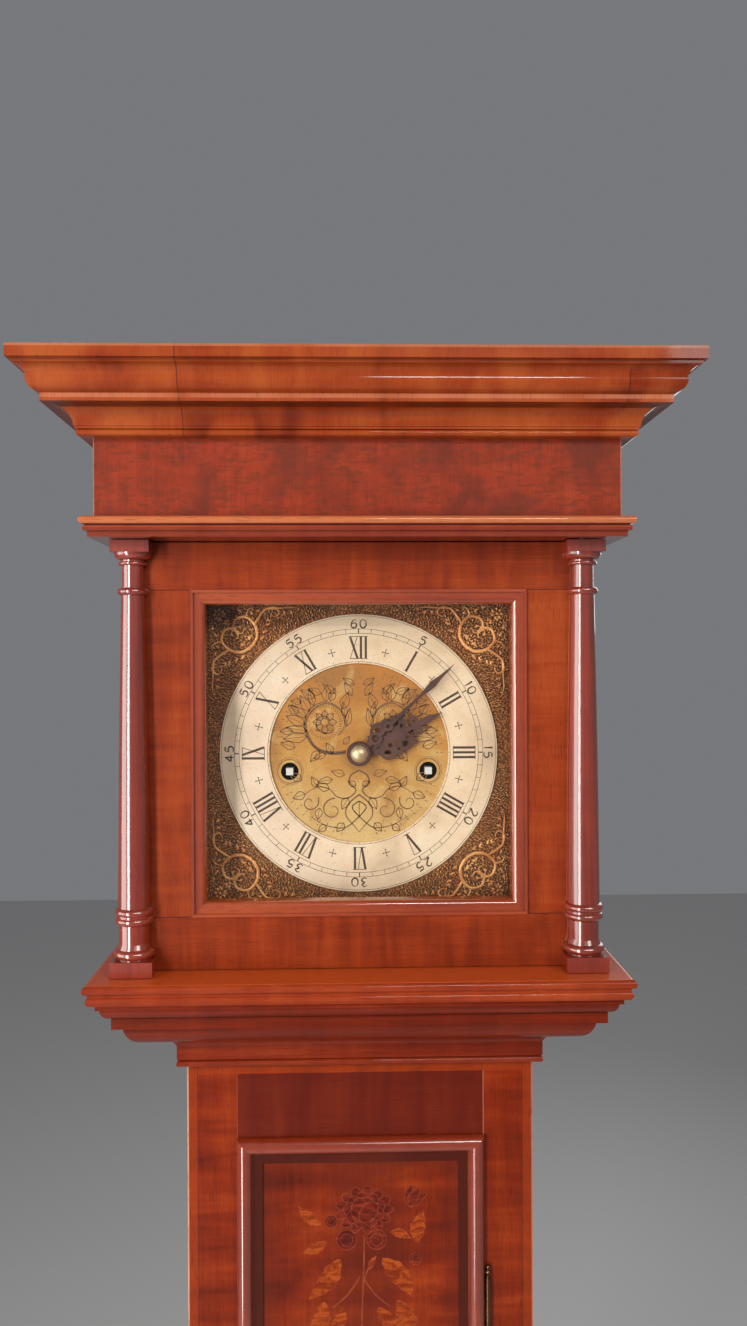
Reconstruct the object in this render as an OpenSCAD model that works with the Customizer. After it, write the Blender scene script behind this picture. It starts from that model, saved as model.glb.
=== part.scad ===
// Longcase clock: flat-topped hood with three-quarter columns, tall trunk with a
// lipped marquetry door, box base, and an eight-day weight-driven striking movement.
// The clock faces -Y and stands on z = 0.  Units are millimetres.

/* [Hood] */
// Height of the centre of the dial above the floor
dial_h = 1760; // [1600:5:1900]
// Width of the hood across the frieze
frieze_w = 440; // [430:2:470]
// Depth of the hood from the face of the frieze to the wall
hood_depth = 230; // [224:2:260]
// Height of the frieze between its two mouldings
frieze_h = 65; // [50:1:90]
// Height of the cornice moulding
cornice_h = 62; // [61:1:72]
// How far the cornice stands out past the frieze
cornice_out = 55; // [54:1:64]
// Height of the small moulding under the frieze
architrave_h = 17; // [16:1:22]
// How far the moulding under the frieze stands out
architrave_out = 10.4; // [8:0.2:14]
// Height of the underside of the frieze moulding above the centre of the dial
soffit_up = 187; // [180:1:200]
// Depth of the ledge below the centre of the dial
ledge_down = 183; // [178:1:195]
// Thickness of the ledge frame that carries the hood
ledge_t = 17.5; // [16:0.5:22]
// Bottom of the side windows below the centre of the dial
window_down = 118; // [100:1:124]
// Top of the side windows above the centre of the dial
window_up = 122; // [100:1:128]
// Width of the hood side in front of its window
window_front = 28; // [22:1:40]
// Width of the hood side between its window and the rear column
window_rear = 8; // [7:1:20]
// How far the ledge stands out past the frieze
ledge_out = 10; // [8:1:14]
// Thickness of the top board of the hood
top_board_t = 9; // [6:1:12]

/* [Hood door] */
// How far the face of the hood door is set back from the frieze
door_set = 33; // [30:0.5:34]
// Thickness of the hood door
door_t = 22; // [20:0.5:23]
// How far the edge of the hood door is set in from the side of the frieze
door_in = 23; // [22:0.5:27]
// Half width of the glazed opening
sight_half_w = 133; // [130:0.5:136]
// Top of the glazed opening above the centre of the dial
sight_up = 133; // [130:0.5:136]
// Bottom of the glazed opening below the centre of the dial
sight_down = 124.5; // [122:0.5:134]
// Width of the moulding around the glass
sight_w = 12.5; // [10:0.5:14]
// Thickness of the glass
glass_t = 2.5; // [2:0.5:4]

/* [Columns] */
// Radius of a column shaft at the foot
shaft_r = 13.8; // [12:0.2:14.4]
// Radius of a column shaft at the neck
neck_r = 10; // [8.6:0.2:11]
// Side of the square block under and over a column
block_w = 36; // [34:0.5:38]
// Height of the square block under a column
plinth_h = 13; // [10:0.5:16]
// Height of the square block over a column
abacus_h = 10; // [8:0.5:14]

/* [Trunk] */
// Width of the trunk
trunk_w = 310; // [300:2:322]
// Height of the moulding between trunk and hood
throat_h = 75.5; // [75:0.5:84]
// Thickness of the case boards
board_t = 16; // [14:0.5:18]
// Thickness of the backboard
back_t = 12; // [9:0.5:14]
// Width of the stiles beside the trunk door
stile_w = 44; // [40:0.5:52]
// Height of the rails over and under the trunk door
rail_h = 66.5; // [60:0.5:90]
// Width of the half-round lip round the trunk door
lip_w = 14; // [12:0.5:16]
// How far the lip laps over the trunk front
lip_over = 8; // [6:0.5:9]
// Thickness of the board of the trunk door
panel_t = 20; // [18:0.5:21]
// Length of a hinge of the trunk door
hinge_l = 60; // [50:1:70]
// Radius of a hinge knuckle
knuckle_r = 2.5; // [2.2:0.1:3]
// Foot of the upper hinge below the top of the trunk door
hinge_down = 180; // [120:5:220]
// Foot of the lower hinge above the bottom of the trunk door
hinge_up = 125; // [80:5:200]
// How deep the sunk field of the trunk door lies behind its border
field_in = 1.6; // [1:0.2:3]

/* [Base] */
// Height of the base box
base_h = 400; // [340:5:460]
// Height of the moulding between base and trunk
base_mould_h = 50; // [40:1:60]
// How far the base stands out past the trunk
base_out = 52; // [44:1:56]
// Height of the skirting
skirt_h = 92; // [70:1:120]
// Thickness of the skirting
skirt_t = 10; // [8:0.5:14]

/* [Dial] */
// Side of the square dial plate
dial_w = 279.4; // [278:0.2:290]
// How far the face of the dial plate is set back from the frieze
dial_set = 78; // [77:0.5:82]
// Thickness of the dial plate
dial_t = 2.5; // [2:0.1:3.2]
// Outer diameter of the chapter ring
ring_d = 252; // [244:1:256]
// Inner diameter of the chapter ring
ring_bore = 163; // [158:1:170]
// Thickness of the chapter ring
ring_t = 2; // [1.4:0.1:2.4]
// Half distance between the winding squares
wind_x = 63; // [62:0.5:64]
// Depth of the winding squares below the centre of the dial
wind_down = 16.5; // [15:0.5:18]
// Diameter of the winding holes
wind_hole_d = 16; // [14:0.5:18]
// Side of the winding squares
square_w = 6.4; // [5:0.2:7]
// Length of the minute hand from the centre to its point
minute_l = 119; // [110:1:122]
// Length of the hour hand from the centre to its point
hour_l = 84; // [76:1:92]

/* [Movement] */
// Width of the movement plates
plate_w = 150; // [148:1:160]
// Height of the movement plates over the dial centre
plate_up = 94; // [92:1:100]
// Height of the movement plates under the dial centre
plate_down = 92; // [88:1:98]
// Thickness of each plate
plate_t = 3.5; // [3:0.1:4]
// Distance between the plates
pillar_l = 60; // [60:0.5:64]
// Distance from the dial plate to the front plate
foot_l = 13.5; // [13.5:0.5:16]
// Radius of the grooved drums
barrel_r = 22; // [18:0.5:23]
// Distance of the middle of the gut lines behind the front plate
line_in = 30; // [26:0.5:32]
// Diameter of the gut line
line_d = 1.8; // [1.4:0.1:2.2]
// Distance from the pendulum pivot to the middle of the bob
pendulum_l = 994; // [900:1:1000]
// Diameter of the pendulum bob
bob_d = 112; // [90:1:120]
// Thickness of the pendulum bob
bob_t = 26; // [20:1:28]
// Diameter of a driving weight
weight_d = 62; // [50:1:64]
// Length of a driving weight
weight_l = 190; // [150:2:220]
// Radius at which the line runs in a pulley
pulley_r = 25; // [22:0.5:26]
// Height of the bottom of the weights, run down
weight_rest_h = 120; // [90:5:200]
// Outer radius of the bell
bell_r = 48; // [40:1:52]

/* [Fits] */
// Radial clearance of pivots, pins and pipes in their holes
run_gap = 0.05; // [0.02:0.01:0.08]
// Gap between parts that slide past each other
slide_gap = 0.7; // [0.5:0.1:1]
// Gap round the trunk door board
door_gap = 1; // [0.8:0.1:1.6]

/* [Hidden] */
$fn = 64;

// ---- places worked out from the sizes above ----
back_y = (hood_depth + cornice_out) / 2;
face_y = back_y - hood_depth;
door_y = face_y + door_set;
door_back = door_y + door_t;
dial_y = face_y + dial_set;
dial_back = dial_y + dial_t;
front_y = dial_back + foot_l;
train_y = front_y + plate_t;
train_back = train_y + pillar_l;
rear_y = train_back + plate_t;
line_y = train_y + line_in;
ledge_w = frieze_w + 2 * ledge_out;
ledge_y = face_y - ledge_out;
ledge_z = dial_h - ledge_down;
throat_out = (ledge_w - trunk_w) / 2;
throat_top = ledge_z - ledge_t - slide_gap;
throat_z = throat_top - throat_h;
trunk_y = ledge_y + throat_out;
trunk_z = base_h + base_mould_h;
trunk_back = back_y - back_t;
soffit_z = dial_h + soffit_up;
frieze_z = soffit_z + architrave_h;
cornice_z = frieze_z + frieze_h;
top_z = cornice_z + cornice_h;
soffit_t = 10;
door_half = frieze_w / 2 - door_in;
col_x = door_half - 3.5;
col_y = door_y - 5;
col_h = soffit_z - ledge_z - 2 * slide_gap;
frame_y = door_back + 1.5;
mask_t = 12;
pivot_r = 3;
base_w = trunk_w + 2 * base_out;
base_y = trunk_y - base_out;
floor_z = 30;
case_in = trunk_w / 2 - board_t;
seat_z = dial_h - plate_down;
seat_t = 20;
seat_y = [front_y - 6, rear_y + 7];
lip_x = trunk_w / 2 - stile_w;
board_x = lip_x - lip_over;
board_z = [trunk_z + rail_h + lip_over, throat_z - rail_h - lip_over];
board_y = trunk_y - 1.5;
door_mid = (board_z[0] + board_z[1]) / 2;
hinge_x = lip_x + knuckle_r + 0.5;
hinge_y = trunk_y - knuckle_r - 0.5;
hinge_zs = [board_z[1] - hinge_down, board_z[0] + hinge_up];
pend_y = rear_y + 23;
pivot_up = 83;
pivot_z = dial_h + pivot_up;
bob_z = pivot_z - pendulum_l;
line_r = line_d / 2;
drum_x = barrel_r + line_r + 0.3;
bell_y = dial_back + bell_r + 6;
bell_rim = plate_up + 28;
bell_t = 2.5;

// Wheel counts and the places of their arbors, seen from the front with the
// centre of the dial at [0, 0].
wind_at = [wind_x, -wind_down];
strike_at = [-wind_x, -wind_down];
third_at = [16, 30];
escape_at = [0, 53.4];
anchor_at = [0, pivot_up];
minute_at = [19, -25.75];
pin_at = [-41.4, 34.3];
hoop_at = [-27.4, 59.5];
warn_at = [-47.4, 68.8];
fly_at = [-35.9, 82.5];
hammer_at = [-70.5, 40];
great_n = 96;
centre_n = 60;
third_n = 56;
escape_n = 30;
leaf_n = 8;
small_leaf_n = 7;
minute_n = 40;
hour_n = 72;
hour_leaf_n = 6;
strike_great_n = 84;
pin_n = 64;
hoop_n = 56;
warn_n = 48;
strike_pins = 8;
minute_turn = 47;
hour_turn = 64;
arbor_r = 1.5;
minute_pivot_r = 1.2;
pivot_hole_r = 0.8;

// The module of a wheel and pinion is set by how far apart their arbors stand.
function apart(a, b) = norm(a - b);
function gear_module(a, b, n1, n2) = 2 * apart(a, b) / (n1 + n2);
function heading(a, b) = atan2(b[1] - a[1], b[0] - a[0]);
// Turn of wheel 2 at b that puts its gap on a tooth of wheel 1 at a.
function in_mesh(a, turn1, n1, b, n2) =
  heading(a, b) + 180 + ((heading(a, b) - turn1) * n1 / 360 + 0.5) * 360 / n2;

great_m = gear_module(wind_at, [0, 0], great_n, leaf_n);
centre_m = gear_module([0, 0], third_at, centre_n, leaf_n);
third_m = gear_module(third_at, escape_at, third_n, small_leaf_n);
motion_m = gear_module([0, 0], minute_at, minute_n, minute_n);
hour_m = gear_module([0, 0], minute_at, hour_n, hour_leaf_n);
strike_m = gear_module(strike_at, pin_at, strike_great_n, leaf_n);
pin_m = gear_module(pin_at, hoop_at, pin_n, leaf_n);
hoop_m = gear_module(hoop_at, warn_at, hoop_n, small_leaf_n);
warn_m = gear_module(warn_at, fly_at, warn_n, small_leaf_n);

centre_turn = in_mesh(wind_at, 0, great_n, [0, 0], leaf_n);
third_turn = in_mesh([0, 0], 0, centre_n, third_at, leaf_n);
escape_turn = in_mesh(third_at, 0, third_n, escape_at, small_leaf_n);
minute_wheel_turn = in_mesh([0, 0], 0, minute_n, minute_at, minute_n);
hour_leaf_turn = in_mesh([0, 0], 0, hour_n, minute_at, hour_leaf_n);
pin_turn = in_mesh(strike_at, 0, strike_great_n, pin_at, leaf_n);
hoop_turn = in_mesh(pin_at, 0, pin_n, hoop_at, leaf_n);
warn_turn = in_mesh(hoop_at, 0, hoop_n, warn_at, small_leaf_n);
fly_turn = in_mesh(warn_at, 0, warn_n, fly_at, small_leaf_n);

walnut = "#9c3a1c";
dark_walnut = "#7a2a16";
oak = "#8a6238";
brass = "#c29a4c";
steel = "#8b8f94";
blued = "#2c2320";
silvered = "#e6dcc4";
clear_glass = "#dfe8ea";

// ---- shared shapes ----

// A box from its low corner to its high corner.
module span(a, b) {
  translate(a) cube(b - a);
}

// The same box on the left and on the right of the clock.
module both_sides() {
  children();
  mirror([1, 0, 0]) children();
}

// A profile (x = out from the case, y = height) run round the front and both
// sides of a case w wide, mitred at the corners.
module run_round(w, front, back, inner, outer) {
  z0 = -10;
  z1 = top_z + 10;
  intersection() {
    translate([w / 2 + outer, front, 0]) rotate([90, 0, -90])
      linear_extrude(w + 2 * outer) children();
    translate([0, 0, z0]) linear_extrude(z1 - z0)
      polygon([[-w / 2 - outer, front - outer], [w / 2 + outer, front - outer],
               [w / 2 - inner, front + inner], [-w / 2 + inner, front + inner]]);
  }
  both_sides() intersection() {
    translate([w / 2, back, 0]) rotate([90, 0, 0])
      linear_extrude(back - front + outer) children();
    translate([0, 0, z0]) linear_extrude(z1 - z0)
      polygon([[w / 2 + outer, front - outer], [w / 2 + outer, back],
               [w / 2 - inner, back], [w / 2 - inner, front + inner]]);
  }
}

// A profile (x = out from the opening, y = depth) run round an upright opening.
module run_frame(half_w, z, outer) {
  mid = (z[0] + z[1]) / 2;
  half_h = (z[1] - z[0]) / 2;
  translate([0, 0, mid]) for (side = [0:3]) {
    reach = side % 2 == 0 ? half_h : half_w;
    across = side % 2 == 0 ? half_w : half_h;
    rotate([0, 90 * side, 0]) intersection() {
      translate([across + outer, 0, reach]) rotate([0, -90, 0])
        linear_extrude(2 * (across + outer)) children();
      translate([0, 500, 0]) rotate([90, 0, 0]) linear_extrude(1000)
        polygon([[-across + outer, reach - outer], [across - outer, reach - outer],
                 [across + outer, reach + outer], [-across - outer, reach + outer]]);
    }
  }
}

// A flat profile seen from the front, standing from depth y0 to depth y1.
module upright(y0, y1) {
  translate([0, y1, dial_h]) rotate([90, 0, 0]) linear_extrude(y1 - y0) children();
}

// A round bar along Y at a place on the movement.
module bar(at, y0, y1, r, sides = 48) {
  translate([at[0], y1, dial_h + at[1]]) rotate([90, 0, 0])
    cylinder(h = y1 - y0, r = r, $fn = sides);
}

// Teeth as straight-sided polygons: half widths are shares of the pitch angle.
function polar(r, a) = [r * cos(a), r * sin(a)];
function teeth(n, r_root, r_pitch, r_tip, w_root, w_pitch, w_tip) = [
  for (i = [0:n - 1]) let (a = i * 360 / n, s = 360 / n)
    each [polar(r_root, a - s * w_root), polar(r_pitch, a - s * w_pitch),
          polar(r_tip, a - s * w_tip), polar(r_tip, a + s * w_tip),
          polar(r_pitch, a + s * w_pitch), polar(r_root, a + s * w_root)]
];
module wheel_teeth(n, m) {
  r = n * m / 2;
  polygon(teeth(n, r - 1.35 * m, r, r + 0.8 * m, 0.21, 0.2, 0.07));
}
module pinion_leaves(n, m) {
  r = n * m / 2;
  polygon(teeth(n, r - 1.45 * m, r, r + 0.42 * m, 0.12, 0.14, 0.07));
}

// A wheel with four crossings, standing between two depths.
module crossed_wheel(at, n, m, y0, y1, turn = 0) {
  r = n * m / 2;
  rim = r - 1.35 * m - max(2, 1.6 * m);
  hub = max(4.5, r * 0.16);
  translate([at[0], 0, at[1]]) upright(y0, y1) rotate(turn) {
    difference() {
      wheel_teeth(n, m);
      circle(r = rim);
    }
    for (i = [0:3]) rotate(90 * i + 45) translate([0, -1.6])
      square([rim + 0.6, 3.2]);
    circle(r = hub);
  }
}
module pinion(at, n, m, y0, y1, turn) {
  translate([at[0], 0, at[1]]) upright(y0, y1) rotate(turn) pinion_leaves(n, m);
}

// An arbor between the plates with a pivot in each of them.
module arbor(at) {
  bar(at, train_y + 0.4, train_back - 0.4, arbor_r);
  bar(at, front_y + 0.4, rear_y - 0.4, pivot_hole_r);
}

// ---- case ----

module backboard() {
  ear = door_half - board_t - 1;
  color(oak) {
    span([-trunk_w / 2, trunk_back, base_h], [trunk_w / 2, back_y, ledge_z + 3]);
    span([-base_w / 2 + board_t, trunk_back, 8], [base_w / 2 - board_t, back_y, base_h]);
    span([-ear, trunk_back, ledge_z + 3], [ear, back_y, top_z - top_board_t - 1]);
  }
}

module trunk_sides() {
  color(dark_walnut) both_sides() {
    span([case_in, trunk_y + board_t, floor_z + board_t],
         [trunk_w / 2, trunk_back, throat_top]);
    span([case_in, front_y - 8, throat_top], [trunk_w / 2, trunk_back, seat_z - seat_t]);
  }
}

module trunk_front() {
  hole_x = board_x + door_gap;
  color(walnut) difference() {
    span([-trunk_w / 2, trunk_y, base_h - 20], [trunk_w / 2, trunk_y + board_t, throat_top]);
    span([-hole_x, trunk_y - 1, board_z[0] - door_gap],
         [hole_x, trunk_y + board_t + 1, board_z[1] + door_gap]);
    for (z = hinge_zs) fixed_leaf(z);
  }
}

// Fillet, ovolo, fillet, ogee, flat and a small astragal, from the ledge in to the trunk.
module throat_profile() {
  z = throat_top;
  z_ovolo = z - 4.5;
  z_fillet = z - 15;
  z_ogee = z - 24;
  ovolo_r = 10.5;
  ovolo_x = throat_out - 22.5;
  ogee_r = 20;
  ogee_x = throat_out - 28;
  flat_x = 8;
  hollow_w = ogee_x - ogee_r - flat_x;
  hollow_h = 12;
  hollow_r = (hollow_w * hollow_w + hollow_h * hollow_h) / (2 * hollow_h);
  z_hollow = z_ogee - ogee_r;
  square_to([0, z_ovolo], [throat_out - 9, z]);
  intersection() {
    translate([ovolo_x, z_ovolo]) circle(r = ovolo_r);
    square_to([0, z_fillet], [throat_out - 12, z_ovolo]);
  }
  square_to([0, z_fillet], [ovolo_x, z_ovolo]);
  square_to([0, z_ogee], [throat_out - 20, z_fillet]);
  intersection() {
    translate([ogee_x - ogee_r, z_ogee]) circle(r = ogee_r);
    square_to([0, z_hollow], [ogee_x, z_ogee]);
  }
  square_to([0, z_hollow], [ogee_x - ogee_r, z_ogee]);
  difference() {
    square_to([0, z_hollow - hollow_h], [ogee_x - ogee_r, z_hollow]);
    translate([ogee_x - ogee_r, z_hollow - hollow_r]) circle(r = hollow_r);
  }
  square_to([0, throat_z + 7], [flat_x, z_hollow - hollow_h + 1]);
  square_to([0, throat_z], [5.5, throat_z + 7]);
  translate([5.5, throat_z + 3.1]) circle(r = 3);
}

// A rectangle of a profile from its low corner to its high corner.
module square_to(a, b) {
  translate(a) square(b - a);
}

module throat_moulding() {
  color(walnut) run_round(trunk_w, trunk_y, back_y, 0, throat_out + 1) throat_profile();
}

module base_box() {
  color(walnut) {
    span([-base_w / 2, base_y, 4], [base_w / 2, base_y + board_t, base_h]);
    both_sides() span([base_w / 2 - board_t, base_y + board_t, 4], [base_w / 2, back_y, base_h]);
    span([-base_w / 2 + board_t, base_y + board_t, floor_z],
         [base_w / 2 - board_t, trunk_back, floor_z + board_t]);
  }
}

// Fillet, hollow and bead that step from the base in to the trunk.
module base_mould_profile() {
  z = base_h;
  hollow_r = min(base_out - 14, base_mould_h - 14);
  difference() {
    square_to([0, z + 8], [8 + hollow_r, z + 8 + hollow_r]);
    translate([8 + hollow_r, z + 8 + hollow_r]) circle(r = hollow_r);
  }
  square_to([0, z], [base_out + 2, z + 5]);
  translate([base_out + 2, z + 2.5]) circle(r = 2.5);
  square_to([0, z + 5], [8 + hollow_r, z + 8]);
  square_to([0, z + 8], [8, trunk_z - 5]);
  square_to([0, trunk_z - 5], [5, trunk_z]);
  translate([5, trunk_z - 2.6]) circle(r = 2.6);
}

// The skirting, with a hollow along its upper edge.
module skirting_profile() {
  difference() {
    square_to([0, 0], [skirt_t, skirt_h]);
    translate([skirt_t, skirt_h]) circle(r = skirt_t - 2);
  }
}

module base_mouldings() {
  color(walnut) {
    run_round(trunk_w, trunk_y, back_y, 0, base_out + 6) base_mould_profile();
    run_round(base_w, base_y, back_y, 0, skirt_t + 1) skirting_profile();
  }
}

// The board that carries the movement, and on the cheeks that hold it the two
// runners under which the ledge of the hood slides. They take just over half of
// the room between the trunk and the side of the hood.
module seatboard() {
  runner_z = ledge_z + slide_gap;
  runner_w = (door_half - board_t - trunk_w / 2) * 7 / 13;
  color(oak) {
    difference() {
      span([-trunk_w / 2, seat_y[0], seat_z - seat_t], [trunk_w / 2, seat_y[1], seat_z]);
      for (x = concat(line_xs(wind_x), line_xs(-wind_x))) gut_hole(x);
    }
    both_sides() span([trunk_w / 2, front_y, runner_z],
                      [trunk_w / 2 + runner_w, trunk_back - 10, runner_z + 12]);
  }
}

// Where the two falls of a gut line pass, for a drum wound clockwise.
function line_xs(x) = [x - drum_x, x - drum_x + 2 * pulley_r];

module gut_hole(x) {
  translate([x, line_y, seat_z - seat_t - 1]) cylinder(h = seat_t + 2, r = line_d + 1.5);
}

// ---- movement frame ----

pillar_at = [[-64, -84], [64, -84], [0, -80], [66, 84], [-56, 88.5]];
train_at = [third_at, escape_at, pin_at, hoop_at, warn_at, fly_at, hammer_at];

module plate_outline() {
  translate([-plate_w / 2, -plate_down]) square([plate_w, plate_down + plate_up]);
}

module movement_plates() {
  hole = pivot_hole_r + run_gap;
  color(brass) {
    upright(front_y, train_y) difference() {
      plate_outline();
      for (at = train_at) translate(at) circle(r = hole);
      for (at = [wind_at, strike_at]) translate(at) circle(r = 4.5 + run_gap);
      circle(r = 2.5 + run_gap);
      translate(anchor_at) circle(r = hole);
      translate(minute_at) circle(r = minute_pivot_r + run_gap);
    }
    upright(train_back, rear_y) difference() {
      plate_outline();
      for (at = train_at) translate(at) circle(r = hole);
      for (at = [wind_at, strike_at]) translate(at) circle(r = 2.5 + run_gap);
      circle(r = 2 + run_gap);
      translate(anchor_at) circle(r = 6);
    }
    for (at = pillar_at) translate([at[0], train_y, dial_h + at[1]]) rotate([-90, 0, 0])
      rotate_extrude() pillar_outline();
  }
}

// Half outline of a turned pillar: radius across, length up.
module pillar_outline() {
  square_to([0, 0], [4.4, 4]);
  square_to([0, pillar_l - 4], [4.4, pillar_l]);
  square_to([0, 4], [3, pillar_l - 4]);
  for (y = [8, pillar_l / 2, pillar_l - 8]) translate([2, y]) intersection() {
    circle(r = 2.4);
    translate([-2, -3]) square([5, 6]);
  }
}

module bell() {
  color(brass) translate([0, bell_y, dial_h + bell_rim]) difference() {
    rotate_extrude($fn = 96) {
      difference() {
        intersection() {
          circle(r = bell_r);
          square([bell_r, bell_r]);
        }
        circle(r = bell_r - bell_t);
      }
      square_to([bell_r - bell_t, 0], [bell_r + 1.2, 3]);
    }
    cylinder(h = bell_r + 5, r = 3 + run_gap);
  }
}

module bell_stand() {
  arm_z = dial_h + bell_rim - 16;
  crown_z = dial_h + bell_rim + bell_r;
  foot_x = 26;
  color(steel) {
    span([foot_x, rear_y, dial_h + plate_up - 22], [foot_x + 10, rear_y + 3, arm_z + 4]);
    span([-5, rear_y - 2, arm_z], [foot_x + 10, rear_y + 3, arm_z + 4]);
    span([-5, bell_y, arm_z], [5, rear_y, arm_z + 4]);
    translate([0, bell_y, 0]) {
      translate([0, 0, arm_z]) cylinder(h = crown_z - bell_t - arm_z - 0.6, r = 5);
      translate([0, 0, arm_z]) cylinder(h = crown_z + 6 - arm_z, r = 3);
      translate([0, 0, crown_z]) cylinder(h = 5, r = 7, $fn = 6);
    }
  }
}

module back_cock() {
  cock_y = rear_y + 13;
  z = pivot_z;
  color(brass) difference() {
    union() {
      both_sides() span([14, rear_y, z - 7], [22, cock_y + 4, z + 11]);
      span([-22, cock_y, z - 7], [22, cock_y + 4, z + 17]);
      span([-7, cock_y + 4, z + 1.7], [7, pend_y + 6, z + 17]);
    }
    bar(anchor_at, cock_y - 1, cock_y + 5, pivot_hole_r + run_gap);
    // the saw cut that holds the suspension spring
    span([-1.2, pend_y - 4.5, z], [1.2, pend_y + 7, z + 6]);
  }
}

// ---- dial ----

foot_at = [[-68, 72], [68, 72], [-68, -72], [68, -72]];

module dial_plate() {
  half = dial_w / 2;
  color(brass) {
    upright(dial_y, dial_back) difference() {
      square(dial_w, center = true);
      for (at = [wind_at, strike_at]) translate(at) circle(d = wind_hole_d);
      circle(r = 7.5);
    }
    for (at = foot_at) bar(at, dial_back, front_y, 3);
  }
}

module chapter_ring() {
  color(silvered) upright(dial_y - ring_t, dial_y) difference() {
    circle(d = ring_d, $fn = 128);
    circle(d = ring_bore, $fn = 128);
  }
}

// One corner ornament: a pierced leaf shape that fills the corner outside the ring.
module spandrel_shape() {
  corner = dial_w / 2 - 5;
  clear_r = ring_d / 2 + 1.2;
  difference() {
    union() {
      intersection() {
        translate([corner - 62, corner - 62]) square(62);
        translate([corner - 28, corner - 28]) circle(r = 36);
      }
      for (k = [0, 1]) mirror(k ? [1, -1] : [0, 0]) {
        translate([corner - 54, corner - 9]) circle(r = 9);
        translate([corner - 70, corner - 5.5]) circle(r = 5.5);
        translate([corner - 66, corner - 10]) square([40, 9]);
      }
    }
    circle(r = clear_r, $fn = 128);
    for (k = [0, 1]) mirror(k ? [1, -1] : [0, 0]) {
      translate([corner - 30, corner - 7]) circle(r = 3.2);
      translate([corner - 44, corner - 5]) circle(r = 2.2);
      translate([corner - 17, corner - 30]) circle(r = 2.6);
    }
    translate([corner - 6, corner - 6]) circle(r = 2.2);
  }
}

module spandrels() {
  color(brass) upright(dial_y - 2.5, dial_y)
    for (k = [0:3]) rotate(90 * k) spandrel_shape();
}

// ---- hood ----

module hood_top() {
  color(oak) span([-frieze_w / 2, face_y, top_z - top_board_t],
                  [frieze_w / 2, back_y, top_z]);
}

// From the top: fascia, ogee, fillet, hollow and bead, out from the frieze.
module cornice_profile() {
  p = cornice_out;
  z = top_z;
  roll_x = p - 21.5;
  roll_r = 9.5;
  hollow_x = p - 27;
  hollow_r = 15;
  low = cornice_z;
  square_to([0, z - 10], [p, z]);
  square_to([0, z - 12.5], [p - 3, z - 10]);
  difference() {
    square_to([0, z - 22.5], [p - 3.5, z - 12.5]);
    translate([p - 3, z - 22.5]) circle(r = 9.5);
  }
  square_to([0, z - 32.5], [roll_x, z - 22]);
  intersection() {
    translate([roll_x, z - 23]) circle(r = roll_r);
    square_to([0, z - 32.5], [p, z - 22]);
  }
  square_to([0, z - 39.5], [p - 21, z - 32.5]);
  difference() {
    square_to([0, z - 54.5], [hollow_x, z - 39.5]);
    translate([hollow_x, z - 54.5]) circle(r = hollow_r);
  }
  square_to([0, low + 5.5], [hollow_x - hollow_r - 1, z - 54.5]);
  square_to([0, low], [9, low + 5.5]);
  translate([9, low + 2.8]) circle(r = 2.7);
}

module cornice() {
  color(walnut) run_round(frieze_w, face_y, back_y, 0, cornice_out + 1) cornice_profile();
}

module frieze() {
  low = soffit_z + soffit_t;
  high = top_z - top_board_t;
  half = frieze_w / 2;
  color(dark_walnut) {
    span([-half, face_y, low], [half, face_y + board_t, high]);
    both_sides() span([half - board_t, face_y + board_t, low], [half, back_y, high]);
  }
}

module architrave_profile() {
  z = soffit_z;
  p = architrave_out;
  square_to([0, z + 10], [p - 3.4, frieze_z]);
  translate([p - 3.4, frieze_z - 3.5]) circle(r = 3.4);
  square_to([0, z + 5], [p - 3, z + 9]);
  square_to([0, z + 9], [p - 4.5, z + 10]);
  square_to([0, z], [p - 6, z + 5]);
}

module architrave() {
  half = frieze_w / 2;
  color(walnut) difference() {
    union() {
      run_round(frieze_w, face_y, back_y, 0, architrave_out + 1) architrave_profile();
      span([-half, face_y, soffit_z], [half, frame_y + mask_t, soffit_z + soffit_t]);
      both_sides() span([door_half - board_t, frame_y + mask_t, soffit_z],
                        [half, back_y, soffit_z + soffit_t]);
    }
    translate([col_x, col_y, soffit_z - 1]) cylinder(h = soffit_t - 1, r = pivot_r + run_gap);
  }
}

window_y = [frame_y + window_front, back_y - block_w - 1 - window_rear];
window_z = [dial_h - window_down, dial_h + window_up];

// The side panels of the hood with their windows, and the frame behind the door.
module hood_frame() {
  x1 = door_half;
  x0 = x1 - board_t;
  mask_x = dial_w / 2 - 1;
  color(walnut) {
    both_sides() difference() {
      span([x0, frame_y, ledge_z], [x1, back_y, soffit_z]);
      span([x0 - 1, window_y[0], window_z[0]], [x1 + 1, window_y[1], window_z[1]]);
      span([x0 - 1, window_y[0] - 5, window_z[0] - 5],
           [x0 + board_t / 2, window_y[1] + 5, window_z[1] + 5]);
    }
    difference() {
      span([-x0, frame_y, ledge_z], [x0, frame_y + mask_t, soffit_z]);
      span([-mask_x, frame_y - 1, dial_h - mask_x], [mask_x, frame_y + mask_t + 1, dial_h + mask_x]);
    }
  }
}

module side_glass() {
  x1 = door_half - board_t / 2;
  color(clear_glass) both_sides()
    span([x1 - glass_t, window_y[0] - 4.5, window_z[0] - 4.5],
         [x1, window_y[1] + 4.5, window_z[1] + 4.5]);
}

module ledge_profile() {
  z = ledge_z;
  low = ledge_z - ledge_t;
  nose = (ledge_t - 1.5) / 4;
  square_to([-60, low], [-nose, z]);
  square_to([-nose - 1, z - 2 * nose], [-nose, z]);
  translate([-nose, z - nose]) circle(r = nose);
  translate([-nose - 2.5, low + nose]) circle(r = nose);
}

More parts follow.
